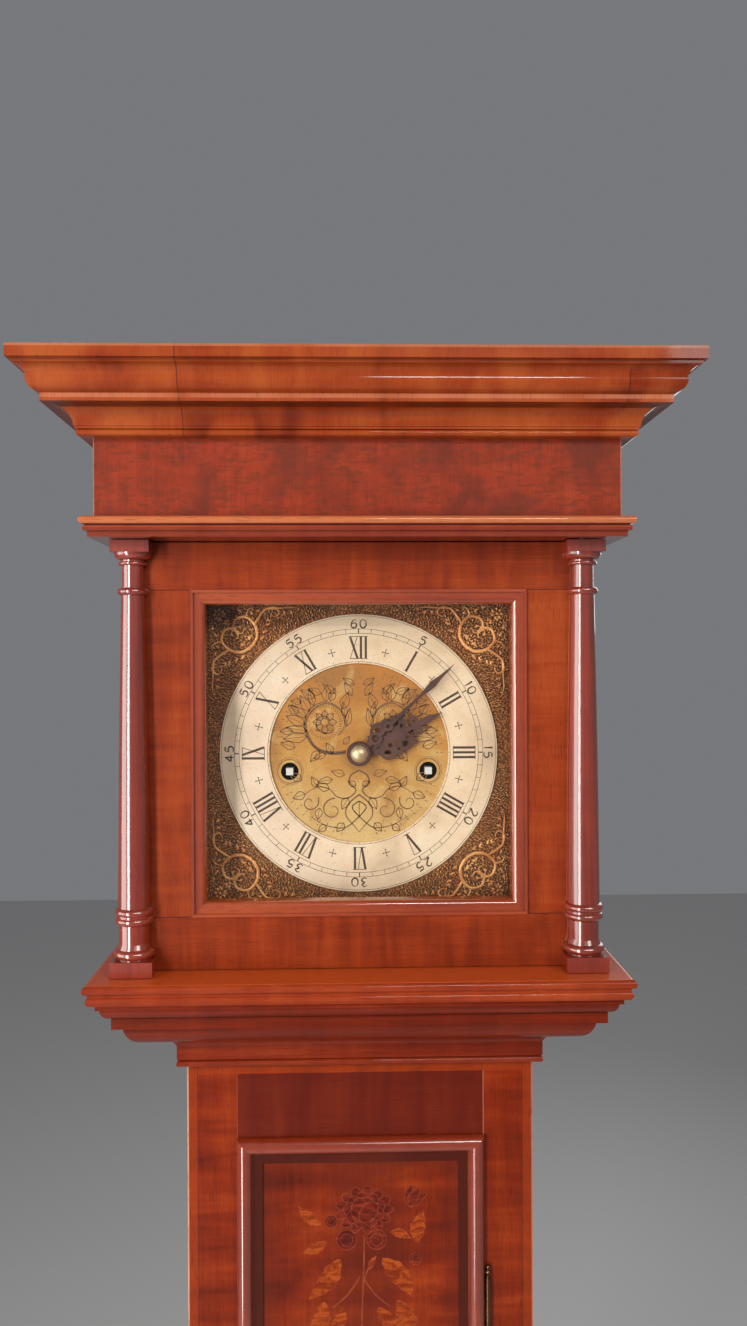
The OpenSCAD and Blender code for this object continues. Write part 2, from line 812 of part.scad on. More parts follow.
module hood_base() {
  inner_x = trunk_w / 2 + 1.5;
  inner_y = frame_y + mask_t + 5;
  low = ledge_z - ledge_t;
  color(walnut) difference() {
    union() {
      run_round(ledge_w, ledge_y, back_y, 60, 1) ledge_profile();
      span([-ledge_w / 2 + 59, ledge_y + 59, low], [ledge_w / 2 - 59, inner_y, ledge_z]);
      both_sides() span([inner_x, inner_y - 1, low], [ledge_w / 2 - 59, back_y, ledge_z]);
    }
    span([-inner_x, inner_y, low - 1], [inner_x, back_y + 1, ledge_z + 1]);
    translate([col_x, col_y, ledge_z - ledge_t + 4]) cylinder(h = ledge_t, r = pivot_r + run_gap);
  }
}

// ---- columns ----

// Half outline of a turned column: radius across, height up from the block.
module column_outline(h) {
  cap = h - 36;
  square_to([0, 0], [shaft_r + 1, 2]);
  intersection() {
    translate([shaft_r, 4.5]) circle(r = 4);
    square_to([0, 0], [shaft_r + 5, 9]);
  }
  square_to([0, 2], [shaft_r + 0.6, 9]);
  polygon([[0, 9], [shaft_r + 0.6, 9], [shaft_r - 0.8, 13], [shaft_r - 0.8, 30], [0, 30]]);
  for (z = [32.5, 40]) translate([shaft_r - 0.6, z]) circle(r = 3.4);
  square_to([0, 29], [shaft_r - 0.6, 43]);
  square_to([0, 35.2], [shaft_r + 1.2, 37.4]);
  polygon(concat([[0, 43]], shaft_side(43, cap), [[0, cap]]));
  translate([neck_r, cap + 3.2]) circle(r = 3.2);
  square_to([0, cap], [neck_r, cap + 7]);
  square_to([0, cap + 6], [neck_r - 0.8, cap + 26]);
  translate([neck_r + 0.8, cap + 27]) circle(r = 1.6);
  square_to([0, cap + 25.4], [neck_r + 0.8, cap + 29]);
  intersection() {
    translate([neck_r, h]) circle(r = 6);
    square_to([0, cap + 29], [neck_r + 6, h]);
  }
  square_to([0, cap + 28], [neck_r, h]);
}

// The shaft swells a little before it narrows to the neck.
function shaft_side(z0, z1) = [
  for (i = [0:8]) let (u = i / 8)
    [shaft_r + (neck_r - shaft_r) * u + 0.5 * sin(180 * u), z0 + (z1 - z0) * u]
];

// A whole column h high with its square blocks, standing at z = 0.
module column(h) {
  half = block_w / 2;
  span([-half, -half, 0], [half, half, plinth_h]);
  span([-half + 1.5, -half + 1.5, h - abacus_h], [half - 1.5, half - 1.5, h]);
  translate([0, 0, plinth_h]) rotate_extrude($fn = 72) column_outline(h - plinth_h - abacus_h);
}

// The front columns are cut away over the corners of the door that carries them.
module columns() {
  color(dark_walnut) difference() {
    both_sides() difference() {
      translate([col_x, col_y, ledge_z + slide_gap]) column(col_h);
      span([col_x - block_w, door_y, ledge_z], [door_half, door_back + block_w, soffit_z]);
    }
    translate([col_x, col_y, ledge_z]) cylinder(h = plinth_h, r = pivot_r);
    translate([col_x, col_y, soffit_z - abacus_h - slide_gap])
      cylinder(h = abacus_h + 2, r = pivot_r);
  }
}

module hood_door_pivots() {
  color(steel) translate([col_x, col_y, 0]) {
    translate([0, 0, ledge_z - ledge_t + 5]) cylinder(h = ledge_t - 5 + plinth_h, r = pivot_r);
    translate([0, 0, soffit_z - abacus_h - slide_gap])
      cylinder(h = abacus_h + slide_gap + soffit_t - 3, r = pivot_r);
  }
}

// Behind, only the part of each column that stands out past the side is there.
module rear_columns() {
  y = back_y - block_w / 2 - 1;
  color(dark_walnut) both_sides() difference() {
    translate([col_x, y, ledge_z]) column(soffit_z - ledge_z);
    span([0, y - block_w, ledge_z - 1], [door_half, y + block_w, soffit_z + 1]);
  }
}

// ---- hood door ----

sight_z = [dial_h - sight_down, dial_h + sight_up];

module hood_door_frame() {
  w = sight_w;
  color(walnut) difference() {
    span([-door_half, door_y, ledge_z + slide_gap], [door_half, door_back, soffit_z - slide_gap]);
    span([-sight_half_w - w, door_y - 1, sight_z[0] - w],
         [sight_half_w + w, door_back + 1, sight_z[1] + w]);
  }
}

module sight_moulding() {
  glass_y = door_y + 15;
  nose = 4.5;
  color(walnut) {
    run_frame(sight_half_w, sight_z, sight_w) {
      square_to([sight_w - 2.5, door_y - 2], [sight_w, glass_y]);
      square_to([nose, door_y], [sight_w, glass_y]);
      square_to([0, door_y + nose], [sight_w, glass_y]);
      translate([nose, door_y + nose]) circle(r = nose);
    }
    run_frame(sight_half_w, sight_z, sight_w)
      square_to([3, glass_y + glass_t], [sight_w, door_back]);
  }
}

module hood_glass() {
  glass_y = door_y + 15;
  w = sight_w - 0.4;
  color(clear_glass)
    span([-sight_half_w - w, glass_y, sight_z[0] - w],
         [sight_half_w + w, glass_y + glass_t, sight_z[1] + w]);
}

// ---- trunk door ----

module trunk_door_board() {
  border = lip_w - lip_over + 9;
  color(walnut) difference() {
    span([-board_x, board_y, board_z[0]], [board_x, board_y + panel_t, board_z[1]]);
    span([-board_x + border, board_y - 1, board_z[0] + border],
         [board_x - border, board_y + field_in, board_z[1] - border]);
    bar([key_x, key_z - dial_h], board_y - 1, board_y + panel_t + 1, keyhole_r);
    for (z = hinge_zs) moving_leaf(z);
  }
}

// A board with its edges rounded by half circles of radius r, to its back at board_y.
module round_edged(half_w, z, r) {
  mid = (z[0] + z[1]) / 2;
  half_h = (z[1] - z[0]) / 2;
  intersection() {
    translate([0, 0, z[0] - 2 * r]) linear_extrude(z[1] - z[0] + 4 * r) edge_shape(half_w, r);
    translate([-half_w - 2 * r, 0, mid]) rotate([0, 90, 0])
      linear_extrude(2 * half_w + 4 * r) edge_shape(half_h, r);
  }
}

module edge_shape(half, r) {
  square_to([-half, board_y - r - 1], [half, board_y]);
  for (k = [-1, 1]) translate([k * half, board_y]) intersection() {
    circle(r = r);
    square_to([-r, -r], [r, 0]);
  }
}

// The same board with its edges hollowed by half circles of radius r.
module hollow_edged(half_w, z, r) {
  mid = (z[0] + z[1]) / 2;
  half_h = (z[1] - z[0]) / 2;
  intersection() {
    translate([0, 0, z[0]]) linear_extrude(z[1] - z[0]) hollow_shape(half_w, r);
    translate([-half_w, 0, mid]) rotate([0, 90, 0]) linear_extrude(2 * half_w) hollow_shape(half_h, r);
  }
}

module hollow_shape(half, r) {
  difference() {
    square_to([-half, board_y - r - 2], [half, board_y + 1]);
    for (k = [-1, 1]) translate([k * half, board_y]) circle(r = r);
  }
}

module trunk_door_lip() {
  r = lip_w / 2;
  out = lip_over - r;
  color(walnut) difference() {
    round_edged(board_x + out, [board_z[0] - out, board_z[1] + out], r);
    hollow_edged(board_x + out, [board_z[0] - out, board_z[1] + out], r);
  }
}

// The leaf that is let into the stile, in two parts beside the moving knuckle.
module fixed_leaf(z) {
  third = hinge_l / 3;
  for (k = [0, 2]) translate([0, 0, z + k * third])
    span([hinge_x - 0.6, hinge_y + 1, 0], [hinge_x + 0.6, trunk_y + board_t - 4, third]);
}

// The leaf that is let into the face of the door.
module moving_leaf(z) {
  third = hinge_l / 3;
  span([board_x - 4, board_y, z + third + 0.3], [board_x, board_y + 0.85, z + 2 * third - 0.3]);
}

// Turned end of a hinge pin: radius across, height up.
module finial_outline() {
  square_to([0, 0], [1.3, 10]);
  square_to([0, 1], [2, 2]);
  intersection() {
    union() {
      translate([0, 4.6]) circle(r = 2.4);
      translate([0, 9.4]) circle(r = 2);
    }
    square_to([0, 0], [3, 12]);
  }
}

module trunk_hinge_leaves() {
  third = hinge_l / 3;
  color(brass) for (z = hinge_zs) {
    fixed_leaf(z);
    translate([hinge_x, hinge_y, z]) {
      cylinder(h = third, r = knuckle_r);
      translate([0, 0, 2 * third]) cylinder(h = third, r = knuckle_r);
      translate([0, 0, third - 1]) cylinder(h = third + 2, r = 1.2);
      for (k = [0, 1]) translate([0, 0, k * hinge_l]) mirror([0, 0, 1 - k])
        rotate_extrude() finial_outline();
    }
  }
}

module trunk_hinge_knuckles() {
  third = hinge_l / 3;
  color(brass) for (z = hinge_zs) difference() {
    union() {
      translate([hinge_x, hinge_y, z + third + 0.3]) cylinder(h = third - 0.6, r = knuckle_r);
      moving_leaf(z);
      span([board_x, board_y + 0.05, z + third + 0.3],
           [hinge_x, board_y + 0.85, z + 2 * third - 0.3]);
    }
    translate([hinge_x, hinge_y, z]) cylinder(h = hinge_l, r = 1.2 + run_gap);
  }
}

key_x = -board_x + 24;
key_z = door_mid + 60;
lock_y = board_y + panel_t;
lock_t = 5.6;
key_r = 2.1;
keyhole_r = 2.6;

module trunk_lock() {
  lock_x = [-board_x + 3, -board_x + 46];
  color(brass) {
    difference() {
      span([lock_x[0], lock_y, key_z - 24], [lock_x[1], lock_y + lock_t, key_z + 24]);
      span([lock_x[0] - 1, lock_y + 0.9, key_z + 6.7],
           [lock_x[1] - 4, lock_y + lock_t - 1, key_z + 17.3]);
      bar([key_x, key_z - dial_h], lock_y - 1, lock_y + lock_t + 1, key_r + run_gap);
    }
    translate([0, 0, key_z - dial_h]) upright(board_y + field_in - 1, board_y + field_in)
      translate([key_x, 0]) difference() {
        union() {
          circle(r = 9);
          translate([0, 11]) circle(r = 5);
          translate([0, -12]) circle(r = 6.5);
        }
        circle(r = keyhole_r);
      }
  }
}

module lock_bolt() {
  color(steel) span([-board_x + 0.3, lock_y + 1.2, key_z + 7],
                    [-board_x + 36, lock_y + lock_t - 1.3, key_z + 17]);
}

module key() {
  bow_y = board_y - 26;
  at = [key_x, key_z - dial_h];
  color(steel) {
    bar(at, bow_y, lock_y + lock_t + 2, key_r);
    bar(at, board_y - 6, board_y - 4, 3.2);
    translate([key_x, bow_y - 9, key_z]) rotate([0, 90, 0])
      rotate_extrude() translate([9, 0]) circle(r = 2);
  }
}

// ---- time train ----

module centre_wheel() {
  color(brass) {
    crossed_wheel([0, 0], centre_n, centre_m, train_back - 20, train_back - 17.5);
    pinion([0, 0], leaf_n, great_m, train_back - 14, train_back - 6, centre_turn);
    crossed_wheel([0, 0], minute_n, motion_m, front_y - 6.5, front_y - 4.5);
    bar([0, 0], dial_y - 11, front_y - 3, 4);
    bar([0, 0], dial_y - 12.5, train_back - 0.4, 2.5);
    bar([0, 0], train_back - 1, rear_y - 0.4, 2);
  }
}

// Long tapering blade on a boss, pierced near the centre, with a domed collet.
module minute_hand() {
  boss_r = 11.2;
  dome_r = 7.8;
  dome_h = 4.3;
  ball_r = (dome_r * dome_r / dome_h + dome_h) / 2;
  wide = minute_l - 27;
  edge = [[2.6, 0], [1.6, 44], [1.3, wide - 15], [2.7, wide - 5], [3.1, wide], [1.7, wide + 8]];
  color(blued) {
    translate([0, dial_y - 10.5, dial_h]) rotate([90, 0, 0]) difference() {
      union() {
        cylinder(h = 2.2, r1 = boss_r, r2 = boss_r - 1.4);
        intersection() {
          translate([0, 0, 2.2 + dome_h - ball_r]) sphere(r = ball_r);
          cylinder(h = 2 * dome_r, r = dome_r);
        }
      }
      translate([0, 0, -1]) cylinder(h = 3, r = 4);
    }
    upright(dial_y - 10.5, dial_y - 9.3) rotate(-minute_turn) difference() {
      union() {
        circle(r = boss_r);
        polygon([each edge, [0, minute_l],
                 each [for (i = [len(edge) - 1:-1:0]) [-edge[i][0], edge[i][1]]]]);
        translate([0, 20]) circle(r = 6);
        translate([0, 36]) circle(r = 4.4);
      }
      circle(r = 4);
      translate([0, 20]) circle(r = 3.2);
      translate([0, 36]) circle(r = 1.8);
    }
  }
}

module minute_wheel() {
  color(brass) {
    crossed_wheel(minute_at, minute_n, motion_m, front_y - 6.5, front_y - 4.5, minute_wheel_turn);
    pinion(minute_at, hour_leaf_n, hour_m, front_y - 11.3, front_y - 6, hour_leaf_turn);
    bar(minute_at, front_y - 12, train_y + 2, minute_pivot_r);
    bar(minute_at, front_y - 5, front_y - 0.5, 3);
  }
}

module hour_wheel() {
  color(brass) difference() {
    union() {
      crossed_wheel([0, 0], hour_n, hour_m, front_y - 11, front_y - 9);
      bar([0, 0], dial_y - 7.5, front_y - 9, 5.5);
    }
    bar([0, 0], dial_y - 8, front_y - 7, 4 + run_gap);
  }
}

// Broad pierced hand of paired scrolls, a waisted cross and a spear point.
module hour_hand() {
  color(blued) upright(dial_y - 7.5, dial_y - 6) rotate(-hour_turn) difference() {
    union() {
      circle(r = 11);
      polygon([[-2.6, 0], [2.6, 0], [2, 60], [3.4, 69], [0, hour_l], [-3.4, 69], [-2, 60]]);
      for (k = [-1, 1]) {
        translate([k * 9.4, 25]) circle(r = 8.6);
        translate([k * 8.8, 42.5]) circle(r = 8);
        translate([k * 5, 57.5]) circle(r = 4.4);
        translate([k * 15.4, 34]) circle(r = 2.6);
        translate([k * 13.4, 51]) circle(r = 2.2);
        polygon([[k * 2, 9], [k * 9, 14], [k * 4, 20]]);
      }
      translate([0, 34]) circle(r = 4.6);
    }
    circle(r = 5.5);
    for (k = [-1, 1]) {
      translate([k * 11.2, 23.4]) circle(r = 3.2);
      translate([k * 6, 28.6]) circle(r = 2.1);
      translate([k * 10.4, 41.4]) circle(r = 3);
      translate([k * 5.4, 45.6]) circle(r = 1.8);
      translate([k * 5.2, 57.2]) circle(r = 1.7);
    }
  }
}

// A great wheel runs free on the arbor of its drum and carries the click.
module great_wheel(at, n, m, y0, click_y) {
  difference() {
    crossed_wheel(at, n, m, y0, y0 + 4);
    bar(at, y0 - 1, y0 + 5, 4.5 + run_gap);
  }
  lift = click_y < y0 ? [click_y - 0.8, y0 + 2] : [y0 + 2, click_y + 3.8];
  translate([at[0], 0, at[1]]) {
    upright(click_y, click_y + 3) rotate(45)
      polygon([[22.5, -3], [27.5, -3], [27.5, 4], [23, 6], [18.8, 9], [18.6, 6.5]]);
    upright(lift[0], lift[1]) rotate(45) translate([25, 0]) circle(r = 1.4);
  }
}

module time_great_wheel() {
  color(brass) great_wheel(wind_at, great_n, great_m, train_back - 12, train_back - 16.5);
}

module third_wheel() {
  color(brass) {
    crossed_wheel(third_at, third_n, third_m, train_y + 22, train_y + 24.5);
    pinion(third_at, leaf_n, centre_m, train_back - 22, train_back - 15.5, third_turn);
    arbor(third_at);
  }
}

escape_r = 20;

module escape_wheel() {
  color(brass) {
    translate([escape_at[0], 0, escape_at[1]]) upright(train_y + 32, train_y + 34) {
      difference() {
        polygon([for (i = [0:escape_n - 1]) let (a = i * 360 / escape_n)
          each [polar(escape_r - 4.5, a - 4), polar(escape_r, a - 1.2), polar(escape_r, a - 0.4),
                polar(escape_r - 4.5, a + 3)]]);
        circle(r = escape_r - 7);
      }
      for (i = [0:3]) rotate(90 * i) translate([0, -1.3]) square([escape_r - 6, 2.6]);
      circle(r = 4);
    }
    pinion(escape_at, small_leaf_n, third_m, train_y + 20, train_y + 27, escape_turn);
    arbor(escape_at);
  }
}

// Recoil anchor with its arbor, and the crutch that drives the pendulum.
module anchor() {
  reach = 45;
  nib_r = escape_r + 1.35;
  rod_gap = 2.35;
  color(steel) {
    upright(train_y + 31, train_y + 35) {
      for (k = [-1, 1]) {
        a = 90 - k * reach;
        tip = [escape_at[0], escape_at[1]] + polar(nib_r, a);
        polygon([anchor_at + [0, 3.6], anchor_at + [k * 11, 0.5], tip + [k * 4.2, 1.6],
                 tip + [k * 0.1, 0.1], tip + [-k * 0.6, 2.4], anchor_at + [k * 6, -5],
                 anchor_at + [0, -3]]);
      }
      translate(anchor_at) circle(r = 4);
    }
    bar(anchor_at, train_y + 0.4, rear_y + 12.6, arbor_r);
    bar(anchor_at, front_y + 0.4, rear_y + 16.6, pivot_hole_r);
    bar(anchor_at, rear_y + 4.5, rear_y + 9.5, 4);
    span([-1.6, rear_y + 6, pivot_z - 105], [1.6, rear_y + 8, pivot_z]);
    span([-1.6, rear_y + 6, pivot_z - 109], [1.6, pend_y - 5.5, pivot_z - 104]);
    difference() {
      span([-6, pend_y - 6.5, pivot_z - 109], [6, pend_y + 6, pivot_z - 104]);
      span([-rod_gap, pend_y - 3.5, pivot_z - 110], [rod_gap, pend_y + 7, pivot_z - 103]);
    }
  }
}

module pendulum_rod() {
  tail = 22;
  color(steel) {
    span([-0.2, pend_y - 3.5, pivot_z - 16], [0.2, pend_y + 3.5, pivot_z + 5.5]);
    span([-3, pend_y - 5, pivot_z - 26], [3, pend_y + 5, pivot_z - 15]);
    translate([0, pend_y, bob_z - bob_d / 2 - tail])
      cylinder(h = pendulum_l + bob_d / 2 + tail - 20, r = 2);
  }
}

// Lens-shaped bob of cast lead with a brass face, and its rating nut.
module pendulum_bob() {
  r = bob_d / 2;
  edge = 3;
  rise = bob_t / 2 - edge / 2;
  curve = (r * r + rise * rise) / (2 * rise);
  color(brass) {
    difference() {
      translate([0, pend_y, bob_z]) rotate([90, 0, 0]) rotate_extrude($fn = 96) {
        for (k = [0, 1]) mirror([0, k]) intersection() {
          translate([0, edge / 2 + rise - curve]) circle(r = curve, $fn = 180);
          square_to([0, 0], [r, bob_t]);
        }
      }
      translate([0, pend_y, bob_z - r - 1]) cylinder(h = bob_d + 2, r = 2);
    }
    translate([0, pend_y, bob_z - r - 10]) difference() {
      cylinder(h = 7, r = 7, $fn = 40);
      translate([0, 0, -1]) cylinder(h = 9, r = 2);
    }
  }
}

// ---- drums, lines and weights ----

// A drum on its arbor: front pivot, winding square, ratchet and rear pivot.
module drum(at, y0, y1, ratchet_y) {
  bar(at, y0 + 2, y1 - 2, barrel_r, 96);
  bar(at, y0, y0 + 2, barrel_r + 2.5, 96);
  bar(at, y1 - 2, y1, barrel_r + 2.5, 96);
  bar(at, front_y - 3, train_back - 0.4, 4.5);
  bar(at, train_back - 1, rear_y - 0.4, 2.5);
  translate([at[0], 0, at[1]]) {
    upright(dial_y - 2.5, front_y - 3) square(square_w, center = true);
    upright(ratchet_y, ratchet_y + 3) polygon([for (i = [0:23]) let (a = i * 15)
      each [polar(15.6, a), polar(18.2, a + 13)]]);
  }
}

module time_barrel() {
  color(brass) drum(wind_at, train_y + 6, train_back - 18, train_back - 16.5);
}

module strike_barrel() {
  color(brass) drum(strike_at, train_y + 15.2, train_back - 5, train_y + 11);
}

pulley_rest_z = weight_rest_h + weight_l + 24 + pulley_r + 14;

module pulley(x) {
  groove = line_r + 0.3;
  color(brass) translate([x, line_y, pulley_rest_z]) rotate([90, 0, 0]) rotate_extrude()
    difference() {
      square_to([2 + run_gap, -3], [pulley_r + 3, 3]);
      translate([pulley_r, 0]) circle(r = groove);
      polygon([[pulley_r, -groove], [pulley_r + 4, -2.6], [pulley_r + 4, 2.6],
               [pulley_r, groove]]);
    }
}

// Brass-cased weight with its hook, and the stirrup and axle of the pulley.
module weight(x) {
  r = weight_d / 2;
  neck_z = weight_rest_h + weight_l;
  color(brass) translate([x, line_y, 0]) {
    translate([0, 0, weight_rest_h]) rotate_extrude($fn = 96) {
      square_to([0, 3], [r, weight_l - 10]);
      square_to([0, 0], [r - 3, weight_l - 4]);
      translate([r - 3, 3]) circle(r = 3);
      intersection() {
        translate([r - 10, weight_l - 10]) circle(r = 10);
        square_to([0, 0], [r, weight_l]);
      }
      square_to([0, 0], [r - 10, weight_l]);
      square_to([0, 0], [5, weight_l + 6]);
      square_to([0, 0], [3, weight_l + 14]);
    }
    span([-6, -6.8, neck_z + 12], [6, 6.8, neck_z + 17]);
    for (y = [-6.8, 4]) span([-5, y, neck_z + 12], [5, y + 2.8, pulley_rest_z + 8]);
    translate([0, 7.6, pulley_rest_z]) rotate([90, 0, 0]) cylinder(h = 15.2, r = 2);
  }
}

// The line falls from the seatboard, turns under the pulley and comes back up.
module gut(x) {
  low = pulley_rest_z;
  xs = line_xs(x);
  color(oak) {
    for (at = xs) translate([at, line_y, low])
      cylinder(h = seat_z - seat_t - low, r = line_r, $fn = 16);
    translate([xs[0] + pulley_r, line_y, low]) rotate([-90, 0, 0])
      rotate_extrude(angle = 180) translate([pulley_r, 0]) circle(r = line_r, $fn = 16);
  }
}

// Above, it runs off the drum on one side and is knotted over the seatboard on
// the other.
module line_ends() {
  low = seat_z - seat_t;
  color(oak) for (x = [wind_x, -wind_x]) {
    xs = line_xs(x);
    translate([xs[0], line_y, low])
      cylinder(h = dial_h - wind_down - low, r = line_r, $fn = 16);
    translate([xs[1], line_y, low]) cylinder(h = seat_t + 3, r = line_r, $fn = 16);
    translate([xs[1], line_y, seat_z]) cylinder(h = 5, r = line_d + 2.4, $fn = 24);
  }
}

module time_pulley() { pulley(line_xs(wind_x)[0] + pulley_r); }
module strike_pulley() { pulley(line_xs(-wind_x)[0] + pulley_r); }
module time_weight() { weight(line_xs(wind_x)[0] + pulley_r); }
module strike_weight() { weight(line_xs(-wind_x)[0] + pulley_r); }
module time_line() { gut(wind_x); }
module strike_line() { gut(-wind_x); }

// ---- strike train ----

module strike_great_wheel() {
  color(brass) great_wheel(strike_at, strike_great_n, strike_m, train_y + 6, train_y + 11);
}

module pin_wheel() {
  pin_circle = pin_n * pin_m / 2 - 2.4;
  color(brass) {
    crossed_wheel(pin_at, pin_n, pin_m, train_y + 16, train_y + 18.5);
    pinion(pin_at, leaf_n, strike_m, train_y + 4, train_y + 12, pin_turn);
    for (i = [0:strike_pins - 1])
      bar(pin_at + polar(pin_circle, i * 360 / strike_pins), train_y + 18, train_y + 24, 1, 24);
    arbor(pin_at);
  }
}

module hoop_wheel() {
  color(brass) {
    crossed_wheel(hoop_at, hoop_n, hoop_m, train_back - 11.5, train_back - 9);
    pinion(hoop_at, leaf_n, pin_m, train_y + 15, train_y + 19.5, hoop_turn);
    arbor(hoop_at);
  }
}

module warning_wheel() {
  color(brass) {
    crossed_wheel(warn_at, warn_n, warn_m, train_y + 28.5, train_y + 31);
    pinion(warn_at, small_leaf_n, hoop_m, train_back - 13.5, train_back - 7.5, warn_turn);
    arbor(warn_at);
  }
}

module fly() {
  color(steel) {
    pinion(fly_at, small_leaf_n, warn_m, train_y + 26.5, train_y + 33, fly_turn);
    arbor(fly_at);
    translate([fly_at[0], 0, fly_at[1]]) upright(train_y + 34, train_y + 46)
      square([28, 1], center = true);
  }
}

// The hammer hangs on its arbor, its head beside the rim of the bell.
module hammer() {
  head_z = bell_rim + 4;
  head_x = -bell_r - 2;
  elbow = [-66.5, plate_up + 10];
  color(steel) {
    arbor(hammer_at);
    bar(hammer_at, bell_y - 3, bell_y + 3, 3.4);
    rod(hammer_at, elbow);
    rod(elbow, [head_x - 12, head_z]);
    translate([elbow[0], bell_y, dial_h + elbow[1]]) sphere(r = 1.6);
    translate([head_x - 14.5, bell_y, dial_h + head_z]) rotate([0, 90, 0])
      cylinder(h = 12.5, r = 5);
    upright(train_y + 19.5, train_y + 23) polygon([hammer_at + [0, -2.8], hammer_at + [4.2, -1.6],
      hammer_at + [4.2, 1.2], hammer_at + [0, 2.8]]);
  }
}

// A straight round rod between two places, in the plane of the bell.
module rod(a, b) {
  run = b - a;
  translate([a[0], bell_y, dial_h + a[1]]) rotate([0, atan2(run[0], run[1]), 0])
    cylinder(h = norm(run), r = 1.4, $fn = 24);
}

// ---- the parts ----
backboard();
trunk_sides();
trunk_front();
throat_moulding();
base_box();
base_mouldings();
seatboard();
movement_plates();
dial_plate();
chapter_ring();
spandrels();
bell();
bell_stand();
back_cock();
line_ends();
trunk_hinge_leaves();
hood_top();
cornice();
frieze();
architrave();
hood_frame();
side_glass();
hood_base();
rear_columns();
hood_door_frame();
sight_moulding();
hood_glass();
columns();
hood_door_pivots();
trunk_door_board();
trunk_door_lip();
trunk_hinge_knuckles();
trunk_lock();
lock_bolt();
key();
centre_wheel();
minute_hand();
minute_wheel();
hour_wheel();
hour_hand();
time_great_wheel();
third_wheel();
escape_wheel();
anchor();
pendulum_rod();
pendulum_bob();
time_barrel();
time_pulley();
time_weight();
time_line();
strike_great_wheel();
pin_wheel();
hoop_wheel();
warning_wheel();
fly();
hammer();
strike_barrel();
strike_pulley();
strike_weight();
strike_line();
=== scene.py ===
import math
import random

import bpy
import bmesh
from mathutils import Matrix, Vector


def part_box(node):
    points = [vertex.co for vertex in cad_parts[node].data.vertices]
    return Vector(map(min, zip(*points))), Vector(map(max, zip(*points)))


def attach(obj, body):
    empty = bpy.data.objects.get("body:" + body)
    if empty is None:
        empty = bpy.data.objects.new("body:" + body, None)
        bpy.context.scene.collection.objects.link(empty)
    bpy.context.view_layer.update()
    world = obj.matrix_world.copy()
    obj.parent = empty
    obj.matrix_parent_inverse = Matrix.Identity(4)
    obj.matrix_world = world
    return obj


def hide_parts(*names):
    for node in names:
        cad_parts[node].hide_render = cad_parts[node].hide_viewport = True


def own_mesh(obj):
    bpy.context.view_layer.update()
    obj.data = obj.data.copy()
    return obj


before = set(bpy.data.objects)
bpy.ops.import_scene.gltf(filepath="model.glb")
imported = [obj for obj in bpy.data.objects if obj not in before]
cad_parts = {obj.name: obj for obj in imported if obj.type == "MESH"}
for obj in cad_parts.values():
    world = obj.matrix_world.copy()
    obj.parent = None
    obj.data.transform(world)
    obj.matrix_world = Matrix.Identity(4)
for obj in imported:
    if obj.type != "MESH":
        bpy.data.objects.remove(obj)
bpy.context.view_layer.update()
mm = 0.001
random.seed(7)


def middleOf(node):
    low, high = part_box(node)
    return (low[0] + high[0]) / 2, (low[2] + high[2]) / 2


def edgeOf(node):
    # half the width of a piece, and the depth of its front
    low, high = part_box(node)
    return high[0], low[1]


def frontOf(node, inset=0.0):
    # where the face of a piece that stands upright begins and ends
    low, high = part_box(node)
    return dict(half=high[0] - inset, middle=middleOf(node)[1], reach=(high[2] - low[2]) / 2 - inset)


dialCentre = middleOf("chapter_ring")
dialZ = dialCentre[1]
plateFace = edgeOf("dial_plate")[1]
ringEdge, ringFace = edgeOf("chapter_ring")
timeWinder, strikeWinder = middleOf("time_barrel"), middleOf("strike_barrel")


class Wire:
    # a value inside a material, which takes part in sums as a number does
    def __init__(self, look, socket):
        self.look = look
        self.socket = socket

    def __abs__(self):
        return self.look.sum("ABSOLUTE", self)


def wireSum(operation, swapped=False):
    def method(self, other):
        pair = (other, self) if swapped else (self, other)
        return self.look.sum(operation, *pair)
    return method


for sign, operation in (("add", "ADD"), ("sub", "SUBTRACT"), ("mul", "MULTIPLY"), ("truediv", "DIVIDE"),
                        ("pow", "POWER"), ("gt", "GREATER_THAN"), ("lt", "LESS_THAN")):
    setattr(Wire, f"__{sign}__", wireSum(operation))
for sign, operation in (("radd", "ADD"), ("rsub", "SUBTRACT"), ("rmul", "MULTIPLY")):
    setattr(Wire, f"__{sign}__", wireSum(operation, swapped=True))


